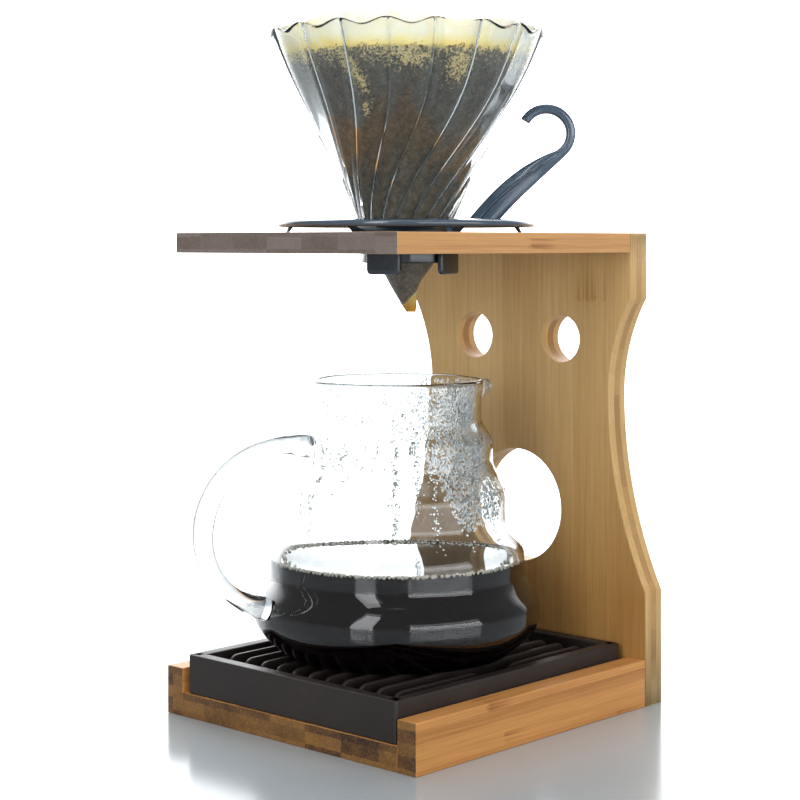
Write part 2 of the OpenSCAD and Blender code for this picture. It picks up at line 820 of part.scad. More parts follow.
// Thickness along the handle: fullest in its middle, and drawn out again at both welds
function weld_swell(t) = exp(-pow(t * handle_rings / 2, 2));
function handle_thickness(t) = handle_end_t + (handle_t - handle_end_t) * sin(180 * t)
    + (weld_d - handle_end_t) * (weld_swell(t) + weld_swell(1 - t));
function handle_ring(t) = let (
    way = curve_way(handle_curve, t),
    half = handle_thickness(t) / 2,
    side = [-way[1], way[0]] / norm(way)
) oval(curve(handle_curve, t), -half * side, half);
module server_handle() {
    color("lightcyan", 0.5)
        at_server()
            difference() {
                rotate(handle_angle)
                    solid_skin([for (i = [0 : handle_rings]) handle_ring(i / handle_rings)]);
                jug_solid(weld_fit, -weld_d, server_h);
            }
}
module brewed_coffee() {
    color("#1c1d20")
        at_server() jug_solid(-server_wall - coffee_fit, server_bottom + coffee_fit, coffee_h);
}

back_panel();
shelf();
base_floor();
left_rail();
right_rail();
shelf_screws();
base_screws();
shelf_dowels();
panel_dowels();
rail_dowels();
drip_tray();
tray_ribs();
dripper_holder();
retaining_ring();
hook_handle();
dripper_cone();
paper_filter();
coffee_bed();
server_jug();
server_handle();
brewed_coffee();
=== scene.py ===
"""Surfaces and finishes of a bamboo pour-over coffee stand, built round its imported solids.

Lengths are millimetres inside the functions and metres in the meshes. +Z is up, and the front, where
the drip tray slides out, faces -Y.
"""

import math
from types import SimpleNamespace

import bpy
import numpy as np
from bpy.props import FloatProperty, FloatVectorProperty, IntProperty, PointerProperty
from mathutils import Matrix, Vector
from mathutils.geometry import tessellate_polygon


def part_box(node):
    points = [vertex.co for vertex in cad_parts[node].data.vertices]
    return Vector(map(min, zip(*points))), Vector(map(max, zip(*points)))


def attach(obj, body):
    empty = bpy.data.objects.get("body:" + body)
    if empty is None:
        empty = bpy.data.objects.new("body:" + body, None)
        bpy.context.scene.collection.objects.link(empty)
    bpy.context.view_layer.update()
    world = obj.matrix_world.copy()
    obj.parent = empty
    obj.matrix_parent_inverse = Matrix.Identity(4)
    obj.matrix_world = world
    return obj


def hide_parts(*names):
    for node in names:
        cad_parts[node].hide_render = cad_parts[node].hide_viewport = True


bl_info = {
    "name": "Pour-over coffee stand",
    "version": (1, 0, 0),
    "blender": (4, 5, 0),
    "location": "View3D > Sidebar > Pour-over",
    "description": "Builds the surfaces and finishes of a bamboo pour-over coffee stand",
    "category": "Add Mesh",
}

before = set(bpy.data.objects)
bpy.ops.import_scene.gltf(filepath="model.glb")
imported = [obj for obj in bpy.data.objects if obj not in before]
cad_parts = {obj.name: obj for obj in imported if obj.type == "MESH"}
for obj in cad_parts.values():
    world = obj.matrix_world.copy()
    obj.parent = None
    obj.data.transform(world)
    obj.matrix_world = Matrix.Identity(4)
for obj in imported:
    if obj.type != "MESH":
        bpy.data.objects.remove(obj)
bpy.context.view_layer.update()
MM = 0.001


# Values that a user would change

def to_linear(code):
    """Linear red, green and blue, with full alpha, of an sRGB hex colour."""
    parts = np.array([int(code[i:i + 2], 16) for i in (1, 3, 5)]) / 255
    linear = np.where(parts <= 0.04045, parts / 12.92, ((parts + 0.055) / 1.055) ** 2.4)
    return (*linear.tolist(), 1.0)


def length(name, description, millimetres):
    """Setting that is a length, given in millimetres."""
    return FloatProperty(
        name=name, description=description, default=millimetres * MM, unit="LENGTH", precision=5
    )


def turn(name, description, degrees):
    """Setting that is an angle, given in degrees."""
    return FloatProperty(
        name=name, description=description, default=math.radians(degrees), subtype="ANGLE"
    )


def share(name, description, value):
    """Setting that is a plain number."""
    return FloatProperty(name=name, description=description, default=value)


def colour(name, description, code):
    """Setting that is a colour, given as an sRGB hex colour."""
    return FloatVectorProperty(
        name=name, description=description, default=to_linear(code), subtype="COLOR", size=4, min=0, max=1
    )


class StandSettings(bpy.types.PropertyGroup):
    """Sizes and colours of the bamboo boards."""

    ease: length("Edge ease", "Radius of the sanded edges", 0.5)
    head: length("Panel head", "Height of the straight head of the panel", 29)
    foot: length("Panel foot", "Height of the straight foot of the panel", 50)
    waist: length("Panel waist", "Width of the panel at its waist", 106)
    waist_z: length("Waist height", "Height of the waist above the floor", 136)
    eye: length("Upper holes", "Diameter of the two upper holes", 21.6)
    eye_spacing: length("Upper hole spacing", "Distance between the upper holes", 51.6)
    eye_z: length("Upper hole height", "Height of the upper holes above the floor", 160)
    mouth: length("Large hole", "Diameter of the large hole", 52)
    mouth_z: length("Large hole height", "Height of the large hole above the floor", 82)
    shelf_hole: length("Shelf hole", "Diameter of the hole in the shelf", 54)
    screw_head: length("Screw head", "Diameter of a countersunk screw head", 7.6)
    strip: length("Strip", "Width of one bamboo strip", 20.5)
    layer: length("Layer", "Thickness of one layer of strips in the horizontal boards", 5.1)
    fibre: length("Fibre", "Width of the fibre streaks, coarser than real ones so that they show", 0.45)
    node_x: length("Node X", "Place across the panel of a node in one strip", 42.8)
    node_z: length("Node height", "Height of that node above the floor", 178)
    panel_light: colour("Panel light", "Light strips of the panel", "#e8c387")
    panel_dark: colour("Panel dark", "Dark strips of the panel", "#b88c4e")
    # Panel foot: painted shade, which darkens and warms the panel's faces towards its foot
    panel_foot: colour("Panel foot", "What oil gathered low on the panel lets through", "#dbc6a9")
    core_light: colour("Core light", "Light end grain of the panel's middle layer", "#c99b60")
    core_dark: colour("Core dark", "Dark end grain of the panel's middle layer", "#a87f4b")
    board_light: colour("Board light", "Light long grain of the horizontal boards", "#dc9c57")
    board_dark: colour("Board dark", "Dark long grain of the horizontal boards", "#9c5f28")
    end_light: colour("End grain light", "Light end grain blocks", "#a07238")
    end_dark: colour("End grain dark", "Dark end grain blocks", "#3c2519")
    shelf_light: colour("Shelf light", "Light long grain of the shelf", "#e4ac70")
    shelf_dark: colour("Shelf dark", "Dark long grain of the shelf", "#a46d3d")
    shelf_end_light: colour("Shelf end light", "Light end grain of the shelf", "#8c7e77")
    shelf_end_dark: colour("Shelf end dark", "Dark end grain of the shelf", "#6f5f55")
    dowel: colour("Dowel", "Beech of the dowels", "#d8b88a")
    screw: colour("Screw", "Zinc plating of the screws", "#b9bcc0")


class TraySettings(bpy.types.PropertyGroup):
    """Sizes and colour of the drip tray."""

    wall: length("Wall", "Thickness of the walls", 5.8)
    bottom: length("Bottom", "Thickness of the bottom", 2.6)
    corner: length("Corner", "Radius of the upright corners", 1.6)
    ease: length("Edge ease", "Radius of the moulded edges", 0.7)
    rib: length("Rib", "Thickness of a rib", 1.8)
    rib_pitch: length("Rib pitch", "Distance from rib to rib", 9.7)
    rib_corner: length("Rib corner", "Radius of the upper corners of a rib", 5.5)
    rib_split: length("Rib split", "Gap in the middle of every second rib", 18)
    rib_ease: length("Rib ease", "Radius of the edges of a rib", 0.55)
    plastic: colour("Plastic", "Dark brown of the tray", "#261e1b")
    dust: colour("Dust", "Dry dust in the grain of the plastic", "#413832")


class DripperSettings(bpy.types.PropertyGroup):
    """Sizes and colours of the holder and the fluted glass."""

    bead: length("Bead", "Thickness of the bead round the flange", 2.7)
    bead_rise: length("Bead rise", "Height of the bead above the shelf", 2.4)
    plate_rise: length("Plate rise", "Height of the top of the plate above the shelf", 5.8)
    plate: length("Plate", "Thickness of the plate", 2.2)
    plate_flat: length("Level plate", "Radius of the level part of the plate", 44.5)
    neck_top: length("Neck top", "Radius of the neck at the plate", 26)
    neck_end: length("Neck end", "Radius of the neck at its lower end", 19.8)
    neck_drop: length("Neck drop", "Depth of the neck below the top of the shelf", 8.7)
    foot_count: IntProperty(name="Feet", description="Number of feet under the flange", default=4)
    foot_angle: turn("First foot", "Direction of the first foot", 62)
    foot: length("Foot", "Width of a foot", 3.2)
    ring: length("Ring", "Height of the retaining ring", 4.4)
    tab: length("Tab", "Width of a tab of the ring", 16)
    tab_thick: length("Tab thickness", "Thickness of a tab", 2.4)
    tab_out: length("Tab reach", "Distance of a tab's outer face from the axis", 21.6)
    tab_corner: length("Tab corner", "Radius of the lower corners of a tab", 2.5)
    tab_count: IntProperty(name="Tabs", description="Number of tabs of the ring", default=3)
    tab_angle: turn("First tab", "Direction of the first tab", 15)
    tab_spread: turn("Tab spread", "Turn from one tab to the next", 135)
    hook_angle: turn("Handle", "Direction of the hook handle", 44)
    hook_root_in: length("Root, inner", "Distance of the root's inner edge from the axis", 27)
    hook_root_out: length("Root, outer", "Distance of the root's outer edge from the axis", 40.9)
    hook_reach: length("Hook reach", "Distance of the hook's middle from the axis", 61.1)
    hook_rise: length("Hook rise", "Height of the hook's middle above the shelf", 43.4)
    hook_r: length("Hook radius", "Radius of the hook at the middle of its rod", 10.65)
    hook_thick: length("Rod thickness", "Thickness of the rod in its plane", 4.4)
    crest: share("Rod crest", "Height of the crest along the rod, as a share of its half width", 0.12)
    hook_wide: length("Rod width", "Width of the rod across its plane", 5.4)
    hook_root_wide: length("Root width", "Width of the root across its plane", 9)
    hook_end: turn("Hook end", "Direction of the free end from the hook's middle", 149)
    outlet: length("Outlet", "Radius of the glass at its lower end", 15.5)
    outlet_drop: length("Outlet drop", "Depth of the lower end below the top of the shelf", 12)
    rim: length("Rim", "Radius of the glass at the rim", 61)
    rim_rise: length("Rim rise", "Height of the rim above the shelf", 85.2)
    lower_pull: length("Lower pull", "Length of the nearly straight lower end", 50)
    lower_lean: share("Lower lean", "Lean of the wall at the lower end", 0.284)
    upper_pull: length("Upper pull", "Length of the nearly straight upper end", 36)
    upper_lean: share("Upper lean", "Lean of the wall at the rim", 0.33)
    glass: length("Glass", "Thickness of the glass", 2.2)
    flutes: IntProperty(name="Flutes", description="Number of flutes", default=18)
    flute_rim: length("Flute at rim", "Depth of a flute at the rim", 1.2)
    flute_end: length("Flute at outlet", "Depth of a flute at the lower end", 0.4)
    flute_angle: turn("First flute", "Direction of the first flute", 5)
    swirl: turn("Swirl", "Turn of the flutes from the rim to the lower end", 72)
    swirl_bend: share("Swirl bend", "Power with which the swirl grows downwards", 3.2)
    wave: length("Rim wave", "Rise and fall of the rim with the flutes", 1.3)
    ridge: length("Ridge", "Half width of the inner ridge at a crease, at the rim", 1.6)
    ridge_end: length("Ridge at outlet", "Half width of that ridge at the lower end", 0.9)
    ridge_tilt: turn("Ridge tilt", "Tilt of the two sides of that ridge", 35)
    contact: length("Contact", "How far the wet paper lies in the skin of the glass", 0.12)
    dent: length("Dent", "How far the paper bends in at a ridge", 1.45)
    seat: length("Seat", "Clearance of the glass in its holder", 0.3)
    # Plastic: blue-black lightened to blue-grey, partly the plastic's own colour and partly painted glare
    plastic: colour("Plastic", "Blue-black of the holder", "#435669")
    bloom: colour("Bloom", "Pale bloom on the moulded plastic", "#556c82")
    # Ring plastic: painted shade, a darker copy of the holder's plastic for the ring under the shelf
    ring_plastic: colour("Ring plastic", "Black of the retaining ring", "#1b222a")
    tint: colour("Glass tint", "Tint of the clear glass", "#f7fbfa")


class FilterSettings(bpy.types.PropertyGroup):
    """Sizes and colours of the paper and the grounds."""

    paper: length("Paper", "Thickness of the paper", 0.5)
    fit: length("Paper fit", "Clearance between paper and glass", 0.35)
    tip_drop: length("Tip drop", "Depth of the tip below the top of the shelf", 34.4)
    tip: length("Tip", "Radius of the folded tip", 2)
    edge_rise: length("Grounds edge", "Height of the edge of the grounds above the shelf", 77)
    middle_rise: length("Grounds middle", "Height of the hollow in the grounds above the shelf", 52)
    edge_thick: length("Edge thickness", "Thickness of the grounds at their edge", 2.5)
    seam: turn("Seam", "Direction of the crimped seam of the paper", -64)
    loose: turn("Loose sides", "Direction in which the paper stands off the glass, and its opposite", 43)
    lift: length("Lift", "How far the paper stands off the glass there", 0.9)
    tip_skew: length("Tip skew", "How far the folded tip leans aside", 2)
    tip_turn: turn("Tip direction", "Direction in which the tip leans", 43)
    tip_fold: length("Tip fold", "How far the tip is folded in on that side", 2.4)
    dry: colour("Dry paper", "Unbleached paper", "#fffaec")
    tan: colour("Soaked paper", "Soaked paper without grounds behind it", "#f6cf8c")
    # Patch: the soaked paper's tone, painted lighter for the light that shines through from behind
    patch: colour("Patch", "Patches of the paper with no grounds behind them", "#ffe9ab")
    stain: colour("Stained paper", "Wet paper with grounds behind it", "#5a5650")
    brown: colour("Brown stain", "Warm brown low on the paper", "#5c5244")
    amber: colour("Amber tip", "Coffee in the folded tip", "#f0942c")
    honey: colour("Honey tip", "Thinner coffee above the amber", "#f2cf88")
    grounds: colour("Grounds", "Wet coffee grounds", "#2a1f19")
    chaff: colour("Chaff", "Pale specks among the grounds", "#6b5138")


class ServerSettings(bpy.types.PropertyGroup):
    """Sizes and colours of the server and the coffee."""

    foot: length("Foot", "Radius of the flat foot", 48)
    body: length("Body", "Largest radius", 62)
    body_z: length("Body height", "Height of the largest radius above the foot", 17.2)
    step1: length("First step", "Radius of the first step", 55.3)
    step1_z: length("First step height", "Height of the first step above the foot", 38.7)
    step2: length("Second step", "Radius of the second step", 48.4)
    step2_z: length("Second step height", "Height of the second step above the foot", 63.2)
    step3: length("Third step", "Radius of the third step", 41.6)
    step3_z: length("Third step height", "Height of the third step above the foot", 87.7)
    neck: length("Neck", "Radius of the neck", 36.6)
    neck_z: length("Neck height", "Height of the neck above the foot", 104.7)
    rim: length("Rim", "Radius of the rim", 37.5)
    height: length("Height", "Height of the rim above the foot", 118.2)
    wall: length("Wall", "Thickness of the glass wall", 2.2)
    bottom: length("Bottom", "Thickness of the glass bottom", 3)
    spout: length("Spout", "How far the spout stands out from the rim", 9.1)
    spout_depth: length("Spout depth", "Depth of the spout below the rim", 13.2)
    lip: length("Lip", "Height of the upright lip of the spout", 5)
    upright: share("Upright share", "Share of the way from step to step that stays upright", 0.18)
    spout_angle: turn("Spout angle", "Direction of the spout", 69.5)
    spout_spread: turn("Spout spread", "Half width of the spout", 13)
    lip_dip: length("Lip dip", "How far the lip of the spout bends down", 2.6)
    handle_top_z: length("Upper weld", "Height of the upper weld", 90.7)
    handle_low_z: length("Lower weld", "Height of the lower weld", 23.3)
    handle_top_out: length("Upper reach", "How far the handle runs out from its upper weld", 46.4)
    handle_top_rise: length("Upper rise", "How far it rises on that way", 11.2)
    handle_low_out: length("Lower reach", "How far the handle runs out from its lower weld", 50.8)
    handle_low_rise: length("Lower rise", "How far it rises on that way", 15.2)
    handle: length("Handle", "Thickness of the handle at its middle", 9.1)
    handle_end: length("Handle end", "Thickness of the handle near its welds", 5.4)
    weld: length("Weld", "Diameter of the glass drawn out at a weld", 10)
    level: length("Coffee level", "Height of the coffee above the foot", 40.4)
    tint: colour("Glass tint", "Tint of the clear glass", "#f8fbfb")
    coffee: colour("Coffee", "Brewed coffee", "#0d0809")
    bubble: colour("Bubble", "Film of the bubbles", "#f4ecd9")
    mist: colour("Mist", "Condensed water", "#fdfefe")


class StageSettings(bpy.types.PropertyGroup):
    """Camera, light and floor."""

    camera_x: length("Camera X", "Place of the camera", 552.77)
    camera_y: length("Camera Y", "Place of the camera", -604.02)
    camera_z: length("Camera Z", "Place of the camera", 203.65)
    camera_turn: turn("Camera turn", "Turn of the camera about the upright axis", 43)
    lens: share("Lens", "Focal length in millimetres on a 36 mm sensor", 83.97)
    shift: share("Shift", "Shift of the level camera, as a share of the frame", -0.1965)
    back_light: share("Back light", "Radiance of the white wall behind the stand", 4.2)
    front_light: share("Front light", "Radiance of the room in front of the stand", 0.32)
    side_light: share("Side light", "Radiance that the softbox on the right adds", 3.6)
    top_light: share("Top light", "Radiance that the softbox overhead adds", 1.3)
    fill_light: share("Fill light", "Radiance that the softbox in front adds", 4.4)
    light_colour: colour("Light colour", "Cool white of the studio light", "#fbfdff")
    floor: colour("Floor", "Pale table top", "#b4bbbf")


class PourOverSettings(bpy.types.PropertyGroup):
    """All settings of the stand."""

    stand: PointerProperty(type=StandSettings)
    tray: PointerProperty(type=TraySettings)
    dripper: PointerProperty(type=DripperSettings)
    filter: PointerProperty(type=FilterSettings)
    server: PointerProperty(type=ServerSettings)
    stage: PointerProperty(type=StageSettings)


def settings(group):
    """One group of settings, with its lengths in millimetres and its other values as they are."""
    values = getattr(bpy.context.scene.pour_over, group)
    plain = SimpleNamespace()
    for rule in values.bl_rna.properties:
        value = getattr(values, rule.identifier)
        is_length = rule.type == "FLOAT" and rule.unit == "LENGTH"
        setattr(plain, rule.identifier, value / MM if is_length else value)
    return plain


def node_box(node):
    """Lowest and highest corner of a CAD node, in millimetres."""
    low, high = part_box(node)
    return np.array(low) / MM, np.array(high) / MM


def shelf_top():
    """Height of the top of the shelf, in millimetres."""
    return node_box("shelf")[1][2]


def middle_of(node):
    """Middle of a CAD node's box, seen from above."""
    low, high = node_box(node)
    return (low + high)[:2] / 2


# Shapes

def grid_quads(rows, columns, wrap_rows=False, wrap_columns=False):
    """One quad for each cell of a grid of points; a wrapped side is joined to its opposite one."""
    i = np.arange(rows if wrap_rows else rows - 1)[:, None]
    j = np.arange(columns if wrap_columns else columns - 1)[None, :]
    up = (i + 1) % rows
    right = (j + 1) % columns
    corners = (i * columns + j, i * columns + right, up * columns + right, up * columns + j)
    return np.stack(np.broadcast_arrays(*corners), -1).reshape(-1, 4)


def fan(ring, apex, reverse):
    """Triangles from a closed ring of points to one apex."""
    after = np.roll(ring, -1)
    first, second = (after, ring) if reverse else (ring, after)
    return np.stack([first, second, np.full(len(ring), apex)], -1)


def joined(parts):
    """One shape from several: points in a row, with each shape's faces counted on from its first point."""
    starts = np.cumsum([0] + [len(points) for points, _ in parts])
    points = np.concatenate([points for points, _ in parts])
    faces = [face + start for (_, some), start in zip(parts, starts) for face in some]
    return points, faces


def skin(rings, wrap_rows=False, cap_start=False, cap_end=False):
    """Surface through rings of points that run anticlockwise about the way they climb.
    A capped end is closed by a fan to the middle of its ring."""
    rows, columns = rings.shape[:2]
    points = rings.reshape(-1, 3)
    faces = [grid_quads(rows, columns, wrap_rows, True)]
    if cap_start:
        faces.append(fan(np.arange(columns), len(points), True))
        points = np.concatenate([points, rings[0].mean(0, keepdims=True)])
    if cap_end:
        faces.append(fan(np.arange(columns) + (rows - 1) * columns, len(points), False))
        points = np.concatenate([points, rings[-1].mean(0, keepdims=True)])
    return points, faces


def capped(rings):
    """Surface through rings of points, closed at both ends."""
    return skin(rings, cap_start=True, cap_end=True)


def full_turn(count):
    """Angles in even steps round a full turn."""
    return np.linspace(0, 2 * np.pi, count, endpoint=False)


def turn_between(start, angle):
    """Turn from a start to each angle, the short way round."""
    return np.angle(np.exp(1j * (angle - start)))


def blend(first, last, t):
    """Value at share t of the way from first to last."""
    return first + (last - first) * t


def level_axes(angle):
    """Level unit vectors, away from an upright axis at an angle and across that way."""
    c, s, level = np.cos(angle), np.sin(angle), np.zeros_like(angle)
    return np.stack([c, s, level], -1), np.stack([-s, c, level], -1)


def around(radius, height, angles, centre):
    """Points at radius and height, turned to each angle about an upright axis through centre."""
    radius, height, angles = np.broadcast_arrays(radius, height, angles)
    x = centre[0] + radius * np.cos(angles)
    y = centre[1] + radius * np.sin(angles)
    return np.stack([x, y, height], -1)


def turned(profile, angles, centre):
    """Rings of points: each radius and height of a profile, turned to every angle about an upright axis."""
    return around(profile[:, :1], profile[:, 1:], angles, centre)


def revolved(profile, count, centre):
    """Closed ring: a closed profile of radius and height, anticlockwise, turned about an upright axis."""
    return skin(turned(profile, full_turn(count), centre), wrap_rows=True)


def upright(radius, across, height, angle, centre):
    """Points of an upright plane that is turned to an angle: radius along it from its axis through
    centre, across its face, and height."""
    c, s = math.cos(angle), math.sin(angle)
    x = centre[0] + radius * c - across * s
    y = centre[1] + radius * s + across * c
    return np.stack([x, y, height], -1)


def direction(degrees):
    """Unit vector at an angle in a plane."""
    return np.array([math.cos(math.radians(degrees)), math.sin(math.radians(degrees))])


def cubic(ends, t):
    """Cubic curve through the first and last of four points, drawn towards the two between them."""
    t = np.asarray(t)[:, None]
    p = np.asarray(ends, float)
    return (1 - t) ** 3 * p[0] + 3 * t * (1 - t) ** 2 * p[1] + 3 * t * t * (1 - t) * p[2] + t ** 3 * p[3]


def ease(u):
    """Half a cosine wave from 0 to 1."""
    return (1 - np.cos(np.pi * np.clip(u, 0, 1))) / 2


def arc(centre, radius, start, end, count):
    """Points on an arc: centre plus radius times the cosine and sine of angles in even steps."""
    angles = np.radians(np.linspace(start, end, count))
    return np.asarray(centre) + radius * np.stack([np.cos(angles), np.sin(angles)], -1)


def circle(centre, radius, count, clockwise=False):
    """Closed outline of a circle."""
    ring = arc(centre, radius, 0, 360, count + 1)[:-1]
    return ring[::-1] if clockwise else ring


def rectangle(low, high):
    """Corners of a rectangle, anticlockwise from its lowest."""
    return [(low[0], low[1]), (high[0], low[1]), (high[0], high[1]), (low[0], high[1])]


def quarter(radius, count):
    """Inset and rise, in even steps of angle, along a quarter circle that rounds an edge."""
    a = np.linspace(0, np.pi / 2, count)
    return radius * (1 - np.sin(a)), radius * (1 - np.cos(a))


def raised(outlines, heights):
    """Rings of points: rows of points in a plane, each row lifted to its height."""
    level = np.broadcast_to(np.asarray(heights)[:, None, None], (*outlines.shape[:2], 1))
    return np.concatenate([outlines, level], -1)


def softened(corners, cuts, count=5):
    """Closed outline whose corners are parabolas that start and end at a cut's length from the corner."""
    p = np.asarray(corners, float)
    cuts = np.broadcast_to(np.asarray(cuts, float), len(p))[:, None]
    before = np.roll(p, 1, 0) - p
    after = np.roll(p, -1, 0) - p
    start = p + cuts * before / np.linalg.norm(before, axis=1, keepdims=True)
    end = p + cuts * after / np.linalg.norm(after, axis=1, keepdims=True)
    t = np.linspace(0, 1, count)[None, :, None]
    bends = (1 - t) ** 2 * start[:, None] + 2 * t * (1 - t) * p[:, None] + t * t * end[:, None]
    return bends.reshape(-1, 2)


def unit(vectors):
    """Vectors of length 1 in the same directions."""
    return vectors / np.linalg.norm(vectors, axis=1, keepdims=True)


def mitres(loop):
    """Outward step at each point of a closed outline that moves both sides at the point by 1."""
    side = np.roll(loop, -1, 0) - loop
    normal = unit(np.stack([side[:, 1], -side[:, 0]], -1))
    both = normal + np.roll(normal, 1, 0)
    return 2 * both / (both ** 2).sum(1, keepdims=True)


def flat_cap(points, index, upward):
    """Triangles over an outline with holes, given as lists of point numbers in one level plane."""
    loops = [[Vector((*place, 0)) for place in points[ring, :2].tolist()] for ring in index]
    order = np.concatenate(index)
    triangles = order[np.array(tessellate_polygon(loops))]
    a, b, c = (points[triangles[:, k], :2] for k in range(3))
    area = (b - a)[:, 0] * (c - a)[:, 1] - (b - a)[:, 1] * (c - a)[:, 0]
    wrong = (area < 0) == upward
    triangles[wrong] = triangles[wrong][:, ::-1]
    return triangles


def eased_plate(loops, low, high, radius, pockets=()):
    """Plate with rounded edges. The first outline runs anticlockwise and its holes clockwise. At both
    faces each outline draws in by a quarter circle. Pockets are countersinks in the lower face, given
    as a clockwise circle, its depth and the share of its width at the bottom."""
    inset, rise = quarter(radius, 4)
    insets = np.concatenate([inset, inset[::-1]])[:, None, None]
    heights = np.concatenate([low + rise, (high - rise)[::-1]])
    parts = [skin(raised(loop[None] - insets * mitres(loop)[None], heights)) for loop in loops]
    sizes = [len(points) for points, _ in parts]
    starts = np.cumsum([0] + sizes)[:-1]
    bottoms = [start + np.arange(len(loop)) for start, loop in zip(starts, loops)]
    tops = [ring + size - len(loop) for ring, size, loop in zip(bottoms, sizes, loops)]
    for loop, depth, narrow in pockets:
        middle = loop.mean(0)
        rings = np.stack([loop, blend(middle, loop, narrow)])
        bottoms.append(sum(len(points) for points, _ in parts) + np.arange(len(loop)))
        parts.append(skin(raised(rings, [low, low + depth]), cap_end=True))
    points, faces = joined(parts)
    return points, faces + [flat_cap(points, bottoms, False), flat_cap(points, tops, True)]


def board(node, radius, holes=()):
    """Plate with rounded edges that fills the box of a CAD node, apart from clockwise holes."""
    low, high = node_box(node)
    return eased_plate([softened(rectangle(low, high), radius), *holes], low[2], high[2], radius)


def placed(shape, axes, origin=(0, 0, 0)):
    """Shape whose three coordinates run along the given axes from an origin."""
    points, faces = shape
    return np.asarray(origin) + points @ np.asarray(axes, float), faces


def scattered(template, centres, frames, sizes):
    """Copies of a small shape, one for each centre, turned to its three axes and scaled to its size."""
    points, faces = template
    made = centres[:, None] + sizes[:, None, None] * np.einsum("vk,nkc->nvc", points, frames)
    steps = (np.arange(len(centres)) * len(points))[:, None, None]
    return made.reshape(-1, 3), [(face[None] + steps).reshape(-1, face.shape[1]) for face in faces]


def dome(height, sides, rows):
    """Small closed cap of unit radius on a flat base: circles whose radius and height follow a quarter
    circle, drawn out to the given height."""
    a = np.linspace(0, np.pi / 2, rows + 1)[:-1]
    phi = full_turn(sides)
    x = np.cos(a)[:, None] * np.cos(phi)
    y = np.cos(a)[:, None] * np.sin(phi)
    z = np.broadcast_to(height * np.sin(a)[:, None], x.shape)
    points, faces = capped(np.stack([x, y, z], -1))
    points[-1] = (0, 0, height)
    return points, faces


def add_piece(name, shape, material, body, replaces=(), sharp=None):
    """Mesh object of a shape, smooth apart from edges sharper than an angle, on its body."""
    points, faces = shape
    mesh = bpy.data.meshes.new(name)
    rows = [row for some in faces for row in some.tolist()]
    mesh.from_pydata((points * MM).tolist(), [], rows)
    mesh.shade_smooth()
    if sharp is not None:
        mesh.set_sharp_from_angle(angle=math.radians(sharp))
    mesh.materials.append(material)
    piece = bpy.data.objects.new(name, mesh)
    bpy.context.scene.collection.objects.link(piece)
    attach(piece, body)
    if replaces:
        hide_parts(*replaces)
    return piece


def even_shading(piece):
    """Shading that keeps large faces flat beside their rounded edges."""
    piece.modifiers.new("Weighted normals", "WEIGHTED_NORMAL").weight = 80


# Materials

def fill(node, inputs):
    """Fill a node's inputs, given by name or number: a socket is linked, any other value is set."""
    for key, value in inputs.items():
        if isinstance(value, bpy.types.NodeSocket):
            node.id_data.links.new(value, node.inputs[key])
        else:
            node.inputs[key].default_value = value


def add(tree, kind, inputs=(), out=0, **values):
    """Add a shader node with its settings and inputs, and return one of its outputs, if it has any.
    Inputs come in the node's order, or by name or number."""
    node = tree.nodes.new("ShaderNode" + kind)
    for key, value in values.items():
        setattr(node, key, value)
    fill(node, inputs if isinstance(inputs, dict) else dict(enumerate(inputs)))
    return node.outputs[out] if node.outputs else None


def new_material(name):
    """Material with one surface shader and nothing linked to it. Also its node tree, that shader,
    object coordinates in millimetres and the object's normal."""
    material = bpy.data.materials.new(name)
    material.use_nodes = True
    tree = material.node_tree
    tree.nodes.clear()
    surface = add(tree, "BsdfPrincipled")
    add(tree, "OutputMaterial", {"Surface": surface})
    source = add(tree, "TexCoord").node.outputs
    place = add(tree, "VectorMath", {0: source["Object"], "Scale": 1 / MM}, operation="SCALE")
    return material, tree, surface.node, place, source["Normal"]


